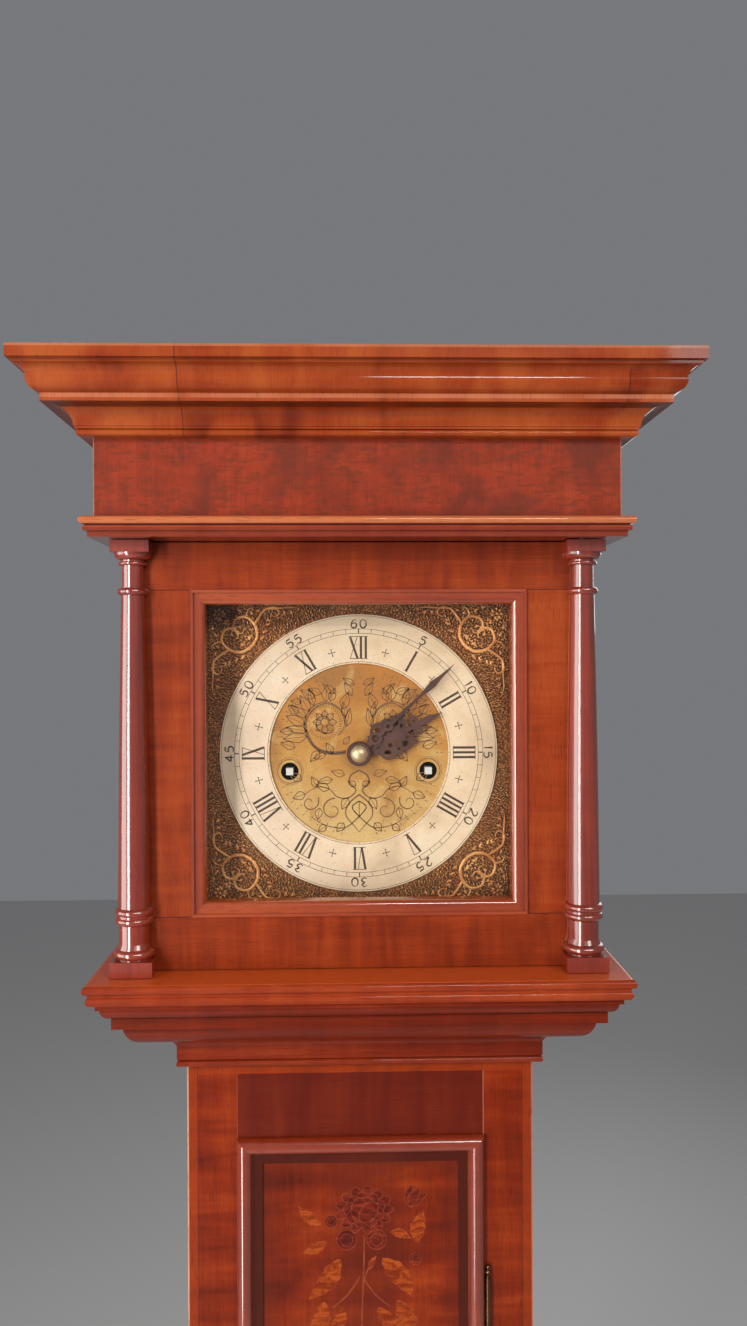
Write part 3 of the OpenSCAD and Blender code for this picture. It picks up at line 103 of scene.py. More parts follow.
class Look:
    # a material that is written as sums on the place of each point
    def __init__(self, name, surface="ShaderNodeBsdfPrincipled", **fixed):
        self.material = bpy.data.materials.new(name)
        self.material.use_nodes = True
        self.tree = self.material.node_tree
        self.tree.nodes.clear()
        self.skin = self.node(surface)
        for key, value in fixed.items():
            self.skin.inputs[key.replace("_", " ")].default_value = value
        self.end = self.node("ShaderNodeOutputMaterial")
        self.tree.links.new(self.skin.outputs[0], self.end.inputs[0])
        self.coords = self.node("ShaderNodeTexCoord")
        self.x, self.y, self.z = self.split(self.coords.outputs["Object"])

    def node(self, kind, settings=None, **feeds):
        made = self.tree.nodes.new(kind)
        for key, value in (settings or {}).items():
            if key == "stops":
                while len(made.color_ramp.elements) < len(value):
                    made.color_ramp.elements.new(0.5)
                for element, (at, colour) in zip(made.color_ramp.elements, value):
                    element.position = at
                    element.color = (*colour, 1.0)
            else:
                setattr(made, key, value)
        for key, value in feeds.items():
            socket = made.inputs[int(key[1:])] if key[1:].isdigit() else made.inputs[key]
            if isinstance(value, Wire):
                self.tree.links.new(value.socket, socket)
            elif socket.type == "RGBA":
                socket.default_value = (*value, 1.0)
            else:
                socket.default_value = value
        return made

    def split(self, socket):
        parts = self.node("ShaderNodeSeparateXYZ")
        self.tree.links.new(socket, parts.inputs[0])
        return [Wire(self, out) for out in parts.outputs]

    def sum(self, operation, first, second=0.0):
        made = self.node("ShaderNodeMath", {"operation": operation}, i0=first, i1=second)
        return Wire(self, made.outputs[0])

    def place(self, x, y, z):
        return Wire(self, self.node("ShaderNodeCombineXYZ", i0=x, i1=y, i2=z).outputs[0])

    def noise(self, place, detail=3.0, rough=0.5, twist=0.0):
        made = self.node("ShaderNodeTexNoise", Vector=place, Scale=1.0, Detail=detail,
                         Roughness=rough, Distortion=twist)
        return Wire(self, made.outputs["Fac"])

    def spots(self, x, y, z, *shape):
        # noise with about so many spots to a metre along each axis
        return self.noise(self.place(self.x * x, self.y * y, self.z * z), *shape)

    def cells(self, place):
        made = self.node("ShaderNodeTexVoronoi", Vector=place, Scale=1.0)
        return Wire(self, made.outputs["Distance"])

    def chance(self, value):
        made = self.node("ShaderNodeTexWhiteNoise", {"noise_dimensions": "1D"}, W=value)
        return Wire(self, made.outputs["Value"])

    def step(self, value, low, high):
        made = self.node("ShaderNodeMapRange", {"interpolation_type": "SMOOTHSTEP"},
                         i0=value, i1=low, i2=high)
        return Wire(self, made.outputs["Result"])

    def line(self, distance, half=0.0004):
        return self.step(abs(distance), half + 0.0002, half - 0.0002)

    def ramp(self, value, *stops):
        return Wire(self, self.node("ShaderNodeValToRGB", {"stops": stops}, i0=value).outputs[0])

    def blend(self, factor, first, second):
        made = self.node("ShaderNodeMix", {"data_type": "RGBA"}, i0=factor, i6=first, i7=second)
        return Wire(self, made.outputs[2])

    def lay(self, mask, tint):
        # a tint over the colour so far, where the mask is one
        self.colour = self.blend(mask, self.colour, tint)

    def wear(self, **feeds):
        for key, value in feeds.items():
            self.tree.links.new(value.socket, self.skin.inputs[key.replace("_", " ")])

    def bump(self, height, strength, distance):
        made = self.node("ShaderNodeBump", i0=strength, i1=distance, Height=height)
        self.tree.links.new(made.outputs[0], self.skin.inputs["Normal"])

    def about(self, x, z):
        # distance from an axle that runs along Y
        across, up = self.x - x, self.z - z
        return self.sum("SQRT", across * across + up * up)


print("stage: woods")

frieze, trunk = edgeOf("frieze"), edgeOf("trunk_front")
doorFace = frontOf("trunk_door_board")
glueTint = (0.04, 0.01, 0.006)
# tones run from the dark lines to the light ones; around is the edge that a moulding runs
# round; lines are painted highlights and painted shade, each a height, half a thickness, a tint and a
# strength
woods = {
    "cornice": dict(
        tones=((0.13, 0.012, 0.002), (0.27, 0.034, 0.005), (0.38, 0.075, 0.014)), grain="cross",
        around=frieze, sheet=0.36, sheetFrom=0.4, sheetTone=0.2, broad=0.45, streak=0.16, curl=0.2,
        # low: the cornice is painted darker towards its foot, as painted shade under its lower members
        ripple=0.1, patch=0.85, low=1.99,
        # lines: painted highlights on the beads and painted shade in the quirks
        lines=((2.09, 0.001, (0.5, 0.2, 0.1), 0.5), (2.0797, 0.0009, (0.07, 0.01, 0.004), 0.7),
               (2.056, 0.0016, (0.52, 0.19, 0.1), 0.6), (2.0508, 0.0008, (0.07, 0.01, 0.004), 0.8),
               (1.9672, 0.0013, (0.56, 0.24, 0.14), 0.75), (1.9645, 0.0006, (0.06, 0.008, 0.004), 0.8))),
    "frieze": dict(
        tones=((0.1, 0.016, 0.008), (0.27, 0.032, 0.011), (0.39, 0.062, 0.02)), grain="cross",
        around=frieze, broad=0.4, streak=0.2, curl=0.1, ripple=0.16, mottle=0.3, rosy=0.25,
        # where a painted highlight along the outer edge of the front begins
        arrisHighlight=frieze[0] - 0.0008),
    "architrave": dict(
        tones=((0.13, 0.012, 0.004), (0.26, 0.031, 0.006), (0.42, 0.08, 0.016)), grain="run",
        around=frieze, curl=0.15, coat=1.0, coatIor=1.6,
        # lines: a painted highlight on the bead, painted shade in the quirk and on the fillets below
        lines=((1.9606, 0.003, (0.6, 0.18, 0.065), 0.75), (1.9566, 0.0008, (0.08, 0.006, 0.003), 0.8),
               (1.95, 0.0045, (0.13, 0.012, 0.006), 0.6))),
    "hood_door_frame": dict(
        tones=((0.13, 0.014, 0.004), (0.275, 0.035, 0.006), (0.38, 0.07, 0.014)), grain="frame",
        middle=middleOf("hood_glass")[1], reach=0.141, broad=0.65, streak=0.2, curl=0.24, ripple=0.3,
        railTone=0.1, patch=0.3),
    "sight_moulding": dict(
        tones=((0.13, 0.014, 0.004), (0.28, 0.034, 0.005), (0.42, 0.07, 0.013)), grain="mitred",
        **frontOf("sight_moulding", 0.0125), curl=0.1, coat=1.0, coatIor=2.1, coatRough=0.12),
    "hood_frame": dict(
        tones=((0.12, 0.016, 0.006), (0.26, 0.036, 0.009), (0.37, 0.06, 0.015)), grain="upright",
        curl=0.3, ripple=0.2),
    "hood_base": dict(
        tones=((0.12, 0.012, 0.004), (0.25, 0.027, 0.005), (0.4, 0.06, 0.012)), grain="run",
        # the ledge is painted lighter above this height, as painted light on its top face
        around=frieze, curl=0.12, paintedLitTop=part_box("hood_base")[1][2] - 0.0006),
    "throat_moulding": dict(
        tones=((0.07, 0.007, 0.002), (0.17, 0.015, 0.003), (0.32, 0.042, 0.009)), grain="run",
        around=trunk, curl=0.12),
    "trunk_front": dict(
        tones=((0.075, 0.0055, 0.001), (0.2, 0.0165, 0.0012), (0.33, 0.042, 0.004)), grain="trunk",
        half=trunk[0], seam=0.1105, middle=doorFace["middle"], reach=0.4501,
        top=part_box("throat_moulding")[0][2], band=0.0092, broad=0.55, streak=0.2, curl=0.34,
        ripple=0.28),
    "trunk_door_lip": dict(
        tones=((0.1, 0.009, 0.003), (0.21, 0.021, 0.005), (0.32, 0.042, 0.01)), grain="mitred",
        **doorFace, curl=0.12, coat=1.0, coatIor=2.0, coatRough=0.12),
    "trunk_door_board": dict(
        tones=((0.075, 0.006, 0.0012), (0.2, 0.017, 0.0015), (0.34, 0.043, 0.004)), grain="door",
        **doorFace, border=0.0152, inset=0.0062, broad=0.6, streak=0.2, curl=0.4, ripple=0.15,
        mottle=0.3),
    "base_box": dict(
        tones=((0.1, 0.011, 0.004), (0.25, 0.028, 0.005), (0.37, 0.056, 0.01)), grain="base",
        half=edgeOf("base_box")[0], top=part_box("base_box")[1][2], foot=0.092,
        front=edgeOf("base_box")[1] + 0.0003, band=0.034, broad=0.6, streak=0.25, curl=0.5, ripple=0.25,
        mottle=0.2),
    "base_mouldings": dict(
        tones=((0.12, 0.014, 0.005), (0.26, 0.032, 0.007), (0.4, 0.066, 0.015)), grain="run",
        around=trunk, curl=0.12),
    "trunk_sides": dict(
        tones=((0.08, 0.011, 0.005), (0.18, 0.023, 0.007), (0.26, 0.04, 0.011)), grain="upright",
        curl=0.15),
    "columns": dict(
        tones=((0.1, 0.011, 0.006), (0.24, 0.024, 0.009), (0.34, 0.042, 0.014)), grain="upright",
        curl=0.1, coat=1.0, coatIor=2.1, coatRough=0.16),
    "rear_columns": dict(
        tones=((0.1, 0.011, 0.006), (0.22, 0.024, 0.009), (0.3, 0.042, 0.014)), grain="upright",
        curl=0.1, coatRough=0.09),
    "backboard": dict(
        tones=((0.1, 0.052, 0.025), (0.2, 0.115, 0.055), (0.3, 0.18, 0.09)), grain="upright", broad=0.9,
        streak=0.7, curl=0.0, coat=0.0, rough=0.62),
    "seatboard": dict(
        tones=((0.12, 0.065, 0.03), (0.25, 0.145, 0.07), (0.36, 0.22, 0.11)), grain="level", broad=0.9,
        streak=0.7, curl=0.0, coat=0.0, rough=0.62),
    "hood_top": dict(
        tones=((0.13, 0.07, 0.035), (0.26, 0.15, 0.075), (0.36, 0.23, 0.12)), grain="level", broad=0.9,
        streak=0.7, curl=0.0, coat=0.0, rough=0.66, dust=0.45),
}


def runGrain(look, spec):
    half, front = spec["around"]
    out = front - look.y
    side = abs(look.x) - half
    onSide = side > out
    run = look.x + (look.y - look.x) * onSide
    away = look.sum("MAXIMUM", out, side)
    return run, away, onSide


def railOf(look, spec):
    # which parts run level: the rails of a frame, and the upright sides of a cross-cut band
    if spec["grain"] == "base":
        side, rise = baseEdges(look, spec)
        return (side < spec["band"]) * (side < rise) * (look.y < spec["front"])
    rail = abs(look.z - spec["middle"]) > spec["reach"]
    if spec["grain"] == "trunk":
        rail = rail * (abs(look.x) < spec["seam"])
    return rail


def grainOf(look, spec):
    # the way along the grain, across it and in depth, and which part of the piece it is
    grain = spec["grain"]
    if grain == "level":
        return look.x, look.z, look.y, 0.0
    if grain in ("run", "cross"):
        run, away, onSide = runGrain(look, spec)
        if grain == "run":
            return run, away, look.z, onSide
        return away + look.z, run, 0.0, onSide
    if grain in ("frame", "trunk", "base"):
        rail = railOf(look, spec)
        along = look.z + (look.x - look.z) * rail
        across = look.x + (look.z - look.x) * rail
        return along, across, look.y, rail
    if grain == "mitred":
        rise = abs(look.z - spec["middle"]) - spec["reach"]
        side = abs(look.x) - spec["half"]
        rail = rise > side
        run = look.z + (look.x - look.z) * rail
        return run, look.sum("MAXIMUM", rise, side), look.y, rail
    return look.z, look.x, look.y, 0.0


# how many spots of each kind there are to a metre along the grain, across it and in depth,
# and their detail, roughness and twist
figures = dict(broad=(2.4, 16, 16, 3, 0.6, 0.7), streak=(4, 190, 190, 4, 0.6), fibre=(30, 1100, 1100, 2),
               curl=(48, 9, 9, 2, 0.5, 0.4), ripple=(150, 11, 11, 2, 0.5, 0.5),
               patch=(7, 19, 9, 2, 0.5, 0.3), pores=(70, 1700, 1700, 1))


def woodLook(name, spec):
    look = Look(name, Coat_Weight=spec.get("coat", 0.5), Coat_Roughness=spec.get("coatRough", 0.06),
                Coat_IOR=spec.get("coatIor", 1.5), Specular_IOR_Level=0.08)
    along, across, deep, part = grainOf(look, spec)

    def figure(kind):
        run, width, depth, *shape = figures[kind]
        return look.noise(look.place(along * run, across * width, deep * depth), *shape)

    broad, streak, fibre, curl = (figure(kind) for kind in ("broad", "streak", "fibre", "curl"))
    tone = (0.5 + (broad - 0.5) * spec.get("broad", 0.7) + (streak - 0.5) * spec.get("streak", 0.5)
            + (fibre - 0.5) * 0.2 + (curl - 0.5) * spec["curl"] * 2.0)
    if spec.get("ripple"):
        tone = tone + (figure("ripple") - 0.5) * spec["ripple"]
    if spec.get("sheet"):
        place = across / spec["sheet"] + part * 7.0 + spec["sheetFrom"]
        tone = tone + (look.chance(look.sum("FLOOR", place) + 3.0) - 0.5) * spec["sheetTone"]
    if spec.get("railTone"):
        tone = tone - part * spec["railTone"] * look.step(broad, 0.35, 0.6)
    dark, middle, light = spec["tones"]
    look.colour = look.ramp(tone, (0.22, dark), (0.5, middle), (0.8, light))
    if spec.get("sheet"):
        edge = abs(look.sum("FRACT", place) - 0.5)
        look.lay(look.step(edge, 0.5 - 0.0009 / spec["sheet"], 0.5) * 0.75, (0.03, 0.008, 0.005))
    if spec.get("patch"):
        patch = figure("patch")
        look.lay(look.step(patch, 0.5, 0.66) * spec["patch"], light)
        look.lay(look.step(patch, 0.46, 0.3) * spec["patch"], dark)
    # the top face painted lighter: painted light where light falls on it
    if spec.get("paintedLitTop"):
        look.lay(look.step(look.z, spec["paintedLitTop"], spec["paintedLitTop"] + 0.0005) * 0.8, (0.66, 0.105, 0.018))
    # darker towards the foot of the cornice: painted shade under its lower members
    if spec.get("low"):
        look.lay(look.step(look.z, spec["low"] + 0.012, spec["low"] - 0.012) * 0.35, dark)
    if spec.get("rosy"):
        blush, blot = look.spots(24, 24, 38, 3, 0.6, 0.5), look.spots(21, 21, 16, 3, 0.6, 0.2)
        dash = look.spots(95, 95, 330, 2, 0.5, 0.3)
        look.lay(look.step(blush, 0.5, 0.7) * spec["rosy"], (0.34, 0.038, 0.026))
        look.lay(look.step(blot, 0.46, 0.66) * 0.62, (0.1, 0.022, 0.013))
        look.lay(look.step(dash, 0.5, 0.64) * 0.5, (0.12, 0.03, 0.012))
    # a painted highlight along the outer edge of the front
    if spec.get("arrisHighlight"):
        edge = look.step(abs(look.x), spec["arrisHighlight"], spec["arrisHighlight"] + 0.0006)
        look.lay(edge * (look.y < spec["around"][1] + 0.0007) * 0.7, (0.62, 0.27, 0.17))
    for height, half, tint, strength in spec.get("lines", ()):
        # painted highlights along the bead ridges, and painted shade in the quirks and under the beads,
        # broken into patches by noise
        patchy = look.noise(look.place(across * 16, 0.0, height * 50), 2)
        line = look.step(abs(look.z - height), half + 0.0004, half - 0.0002)
        look.lay(line * look.step(patchy, 0.2, 0.55) * strength, tint)
    if spec.get("mottle"):
        look.lay(look.step(look.spots(31, 31, 52, 3, 0.6, 0.8), 0.44, 0.72) * spec["mottle"], dark)
    if spec["grain"] == "frame":
        seam = abs(abs(look.z - spec["middle"]) - spec["reach"])
        look.lay(look.step(seam, 0.0007, 0.0002) * 0.7, glueTint)
    elif spec["grain"] == "trunk":
        trunkVeneer(look, spec, part)
    elif spec["grain"] == "door":
        doorVeneer(look, spec)
    elif spec["grain"] == "base":
        baseVeneer(look, spec)
    pores = look.step(figure("pores"), 0.6, 0.7)
    look.lay(pores * 0.5, dark)
    if spec.get("dust"):
        dust = look.step(look.spots(9, 9, 9, 5), 0.35, 0.75)
        look.lay(dust * spec["dust"], (0.42, 0.39, 0.35))
    look.wear(Base_Color=look.colour, Roughness=spec.get("rough", 0.42) + (streak - 0.5) * 0.2)
    look.bump(pores * -0.6 + curl * (0.5 if spec["curl"] else 0.1) + fibre * 0.15, 0.22, 0.0004)
    return look.material


def baseEdges(look, spec):
    side = spec["half"] - abs(look.x)
    return side, look.sum("MINIMUM", spec["top"] - look.z, look.z - spec["foot"])


def baseVeneer(look, spec):
    # a lighter band round the front of the base, inside it a pale line between two dark ones
    side, rise = baseEdges(look, spec)
    fromEdge = look.sum("MINIMUM", side, rise)
    front = look.y < spec["front"]
    onBand = (fromEdge < spec["band"]) * front
    look.lay(onBand * 0.35, spec["tones"][2])
    look.lay(look.line(side - rise) * onBand * 0.6, glueTint)
    for inset, half, tint in ((0.0, 0.0007, (0.05, 0.012, 0.006)), (0.0016, 0.0009, (0.48, 0.2, 0.1)),
                              (0.0032, 0.0007, (0.05, 0.012, 0.006))):
        look.lay(look.line(fromEdge - spec["band"] - inset, half) * front * 0.8, tint)


def doorVeneer(look, spec):
    # a dark frame round the sunk field, with a thin light line at its foot
    side = spec["half"] - abs(look.x)
    rise = spec["reach"] - abs(look.z - spec["middle"])
    fromEdge = look.sum("MINIMUM", side, rise)
    look.lay((fromEdge < spec["border"]) * 0.95, (0.03, 0.004, 0.0015))
    look.lay(look.step(abs(fromEdge - spec["inset"]), 0.0008, 0.0003) * 0.55, (0.36, 0.13, 0.07))
    look.lay(look.step(fromEdge, 0.034, spec["border"]) * 0.4, (0.1, 0.012, 0.004))
    # the field is darker in the middle and flames out towards the sides
    spread = look.spots(14, 0, 4, 3, 0.6, 1.2)
    core = look.step(abs(look.x) + (spread - 0.5) * 0.07, 0.045, 0.012)
    look.lay(core * 0.45, (0.105, 0.012, 0.004))


def trunkVeneer(look, spec, rail):
    # a lighter cross-cut band along the outer edges and under the throat, thin joints, and a painted
    # highlight along the outer edges, stronger on the left
    fromEdge = spec["half"] - abs(look.x)
    under = (spec["top"] - look.z) < spec["band"]
    band = look.sum("MINIMUM", (fromEdge < spec["band"]) + under, 1.0)
    look.lay(rail * (1 - band) * 0.72, (0.085, 0.0065, 0.003))
    look.lay(band * 0.45, spec["tones"][2])
    look.lay(look.line(fromEdge - spec["band"]) * 0.55, (0.05, 0.012, 0.008))
    beyond = abs(look.z - spec["middle"]) > spec["reach"]
    seam = look.line(abs(look.x) - spec["seam"]) * beyond
    look.lay(seam * (1 - band) * (0.2 + (look.x > 0.0) * 0.5), (0.46, 0.15, 0.09))
    # a painted highlight along the outer edges, stronger on the left
    arrisHighlight = look.step(fromEdge, 0.0016, 0.0006) * (0.35 + (look.x < 0.0) * 0.6)
    look.lay(arrisHighlight, (0.66, 0.33, 0.22))


print("stage: metals")

# the colour of the painted shade inside the winding holes
paintedHoleShade = (0.012, 0.007, 0.004)
colletFront, colletRadius = -0.0223, 0.0079
squareFront = -0.0005
metals = {
    "brass": dict(bright=(0.72, 0.48, 0.19), dull=(0.42, 0.24, 0.08), rough=0.26, rings=0.3),
    "bell": dict(bright=(0.62, 0.45, 0.24), dull=(0.36, 0.23, 0.11), rough=0.3, rings=0.8),
    "steel": dict(bright=(0.5, 0.5, 0.51), dull=(0.27, 0.26, 0.25), rough=0.33, rings=0.2),
    "blued": dict(bright=(0.17, 0.072, 0.06), dull=(0.07, 0.03, 0.03), rough=0.4, rings=0.0),
    "bronze": dict(bright=(0.2, 0.1, 0.045), dull=(0.07, 0.035, 0.02), rough=0.32, rings=0.1),
    "rodSteel": dict(bright=(0.45, 0.44, 0.43), dull=(0.2, 0.18, 0.16), rough=0.38, rings=0.0),
}


def metalLook(name, spec, centre=dialCentre, brassBetween=()):
    look = Look(name, Metallic=1.0)
    reach = look.about(*centre)
    cloud, fine = look.spots(30, 30, 30, 4, 0.6), look.spots(700, 700, 700, 2)
    grain = look.noise(look.place(reach * 2600, look.y * 500, 0.0), 2)
    tarnish = look.step(cloud, 0.38, 0.72) * 0.8
    look.colour = look.blend(tarnish, spec["bright"], spec["dull"])
    if brassBetween:
        # arbors and pinions are steel, and only the wheel itself is brass
        brass, steel = look.colour, metals["steel"]
        within = 0.0
        for near, far in brassBetween:
            within = (look.y > near) * (look.y < far) + within
        look.colour = look.blend(tarnish, steel["bright"], steel["dull"])
        look.lay(look.sum("MINIMUM", within, 1.0), brass)
    if name in ("movement_plates", "time_barrel", "strike_barrel"):
        shadeWinding(look, name)
        look.wear(Metallic=1.0 - (look.y < squareFront) * 0.85)
    if name in ("minute_hand", "hour_hand"):
        collet = (look.y < colletFront) * (reach < colletRadius)
        look.lay(collet, (0.8, 0.6, 0.38))
        look.wear(Metallic=0.35 + collet * 0.4)
    rough = spec["rough"] + (cloud - 0.5) * 0.3 + (grain - 0.5) * 0.2
    look.wear(Base_Color=look.colour, Roughness=rough)
    look.bump(grain * spec["rings"] + fine * 0.4, 0.12, 0.0002)
    return look.material


def shadeWinding(look, name):
    # painted shade darkens the plate round the winding squares and the barrels behind the dial, where
    # the winding holes lie in shade; the square ends are pale
    if name == "movement_plates":
        nearest = look.sum("MINIMUM", look.about(*timeWinder), look.about(*strikeWinder))
        look.lay(look.step(nearest, 0.015, 0.011), paintedHoleShade)
    else:
        # painted shade on the barrel behind the front plate, and pale square ends in front
        look.lay(look.step(look.y, 0.0075, 0.0045), paintedHoleShade)
        look.lay(look.y < squareFront, (0.88, 0.82, 0.78))


def silverLook(name):
    look = Look(name, Metallic=0.08, Specular_IOR_Level=0.35)
    turned = look.noise(look.place(look.about(*dialCentre) * 2400, look.x * 3, look.z * 3), 2)
    stain, speck = look.spots(21, 0, 21, 5, 0.62, 0.4), look.spots(420, 0, 420, 2)
    look.colour = look.ramp(stain, (0.3, (0.74, 0.53, 0.36)), (0.48, (0.93, 0.67, 0.47)),
                            (0.66, (0.98, 0.79, 0.6)))
    # painted light: the left side lighter and pinker; painted shade: the top darker
    look.lay(look.step(look.x * -1.0, -0.05, 0.12) * 0.4, (0.97, 0.74, 0.63))
    look.lay(look.step(look.z, dialZ + 0.06, dialZ + 0.12) * 0.45, (0.6, 0.42, 0.27))
    look.lay(look.step(speck, 0.62, 0.72) * 0.45, (0.36, 0.24, 0.14))
    look.wear(Base_Color=look.colour, Roughness=0.46 + (turned - 0.5) * 0.3)
    look.bump(turned * 0.6 + speck * 0.4, 0.1, 0.0002)
    return look.material


def dialPlateLook(name):
    look = Look(name, Metallic=0.15, Specular_IOR_Level=0.35)
    cloud = look.spots(17, 0, 17, 5, 0.62, 0.6)
    punch = look.cells(look.place(look.x * 1500, look.y * 300, look.z * 1500))
    # painted light and shade: paler towards the bottom and darker towards the top
    level = look.step((look.z - dialZ) * 7.5 + (cloud - 0.5) * 1.6, -0.75, 0.55)
    look.colour = look.ramp(level, (0.0, (0.86, 0.57, 0.25)), (0.55, (0.7, 0.33, 0.075)),
                            (1.0, (0.6, 0.215, 0.036)))
    look.lay(look.step(cloud, 0.5, 0.68) * 0.6, (0.34, 0.155, 0.05))
    # a painted highlight: pale yellow patches on the plate
    bloom = look.noise(look.place(look.x * 33 + 4.0, 0.0, look.z * 33), 4, 0.6, 0.8)
    look.lay(look.step(bloom, 0.54, 0.68) * 0.5, (0.85, 0.58, 0.24))
    look.lay(look.step(punch, 0.25, 0.6) * 0.3, (0.25, 0.13, 0.05))
    seeds = look.cells(look.place(look.x * 620, look.y * 200, look.z * 620))
    ground = look.blend(look.step(seeds, 0.55, 0.2), (0.11, 0.028, 0.007), (0.66, 0.235, 0.062))
    look.lay(look.step(look.about(*dialCentre), ringEdge - 0.004, ringEdge + 0.001) * 0.92, ground)
    look.wear(Base_Color=look.colour, Roughness=0.5 + (cloud - 0.5) * 0.3)
    look.bump(punch * -1.0, 0.3, 0.0002)
    return look.material


def castLook(name):
    look = Look(name, Metallic=0.2)
    cloud, chased = look.spots(60, 60, 60, 4, 0.6), look.spots(900, 900, 900, 3)
    gilt = look.blend(look.step(cloud, 0.35, 0.7), (0.99, 0.47, 0.17), (0.66, 0.225, 0.06))
    raised = look.step(look.y, plateFace - 0.0007, plateFace - 0.0022)
    colour = look.blend(raised, (0.19, 0.05, 0.013), gilt)
    look.wear(Base_Color=colour, Roughness=0.34 + (cloud - 0.5) * 0.3)
    look.bump(chased, 0.5, 0.0004)
    return look.material


def inkLook(name, colour=(0.075, 0.036, 0.024)):
    look = Look(name, Roughness=0.5)
    patchy = look.step(look.spots(500, 500, 500, 3), 0.56, 0.72)
    faded = tuple(0.6 * a + 0.4 * b for a, b in zip(colour, (0.45, 0.33, 0.2)))
    look.wear(Base_Color=look.blend(patchy * 0.7, colour, faded))
    return look.material


def gutLook(name):
    look = Look(name, Roughness=0.45)
    lay = look.noise(look.place(look.x * 900, look.y * 900, look.z * 500 + look.x * 800), 2)
    stain = look.spots(40, 40, 12, 3)
    colour = look.ramp(lay * 0.6 + stain * 0.4, (0.35, (0.28, 0.17, 0.07)), (0.65, (0.55, 0.4, 0.2)))
    look.wear(Base_Color=colour)
    look.bump(lay, 0.4, 0.0002)
    return look.material


def glassLook(name):
    look = Look(name, "ShaderNodeBsdfGlossy", Roughness=0.02)
    look.bump(look.spots(9, 9, 13, 2), 0.08, 0.002)
    clear = look.node("ShaderNodeBsdfTransparent")
    clear.inputs["Color"].default_value = (0.97, 0.985, 0.97, 1.0)
    facing = Wire(look, look.node("ShaderNodeLayerWeight", Blend=0.5).outputs["Facing"])
    film = look.step(look.spots(40, 40, 40, 4), 0.5, 0.8)
    mixed = look.node("ShaderNodeMixShader", Fac=facing ** 5.0 * 0.8 + film * 0.01 + 0.035)
    look.tree.links.new(clear.outputs[0], mixed.inputs[1])
    look.tree.links.new(look.skin.outputs[0], mixed.inputs[2])
    look.tree.links.new(mixed.outputs[0], look.end.inputs[0])
    return look.material


def dress(node, material):
    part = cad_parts[node]
    if not part.material_slots:
        part.data.materials.append(material)
    for slot in part.material_slots:
        slot.link = "OBJECT"
        slot.material = material


print("stage: dressing the case and the movement")

for node, spec in woods.items():
    dress(node, woodLook(node, spec))

# depth of the front plate's two faces and of the back plate's inner one, and the part of
# each steel arbor that is a brass wheel
front, train, back = 0.0065, 0.01, 0.07
motionWork = (front - 0.0066, front - 0.0044)
wheels = {
    "centre_wheel": ((back - 0.0201, back - 0.0174), motionWork),
    "minute_wheel": (motionWork,),
    "third_wheel": ((train + 0.0219, train + 0.0246),),
    "escape_wheel": ((train + 0.0319, train + 0.0341),),
    "time_barrel": ((train + 0.004, back - 0.012),),
    "pin_wheel": ((train + 0.004, train + 0.0185),),
    "hoop_wheel": ((back - 0.0116, back - 0.0089),),
    "warning_wheel": ((train + 0.028, train + 0.0315),),
    "strike_barrel": ((train + 0.012, back - 0.004),),
}
for node in ("movement_plates", "back_cock", "hour_wheel", "time_great_wheel", "strike_great_wheel",
             "time_pulley", "strike_pulley", "time_weight", "strike_weight"):
    wheels[node] = ()
for node, between in wheels.items():
    dress(node, metalLook(node, metals["brass"], middleOf(node), between))
for kind, centre, nodes in (
        ("brass", (0.0, 0.849), ("pendulum_bob",)),
        ("brass", middleOf("key"), ("trunk_lock",)),
        ("bell", dialCentre, ("bell",)),
        ("steel", dialCentre, ("bell_stand", "anchor", "fly", "hammer", "lock_bolt", "key",
                               "hood_door_pivots")),
        ("bronze", (0.114, 1.25), ("trunk_hinge_leaves", "trunk_hinge_knuckles")),
        ("rodSteel", dialCentre, ("pendulum_rod",)),
        ("blued", dialCentre, ("minute_hand", "hour_hand"))):
    for node in nodes:
        dress(node, metalLook(node, metals[kind], centre))
for node, makeLook in (("chapter_ring", silverLook), ("dial_plate", dialPlateLook),
                       ("line_ends", gutLook), ("hood_glass", glassLook), ("side_glass", glassLook)):
    dress(node, makeLook(node))


def tubeFaces(rows, sides, closed=False):
    # the faces between rows of points that are rings, and a lid at each open end
    faces = [[i * sides + k, i * sides + (k + 1) % sides, (i + 1) % rows * sides + (k + 1) % sides,
              (i + 1) % rows * sides + k]
             for i in range(rows if closed else rows - 1) for k in range(sides)]
    if not closed:
        faces += [list(range(sides))[::-1], list(range((rows - 1) * sides, rows * sides))]
    return faces


def turned(points, x, z, angle):
    # the points turned anticlockwise and moved to (x, z)
    c, s = math.cos(angle), math.sin(angle)
    return [(x + u * c - v * s, z + u * s + v * c) for u, v in points]


def ellipse(x, z, wide, tall, angle=0.0, count=16):
    turns = [k * math.tau / count for k in range(count)]
    return turned([(wide * math.cos(a), tall * math.sin(a)) for a in turns], x, z, angle)


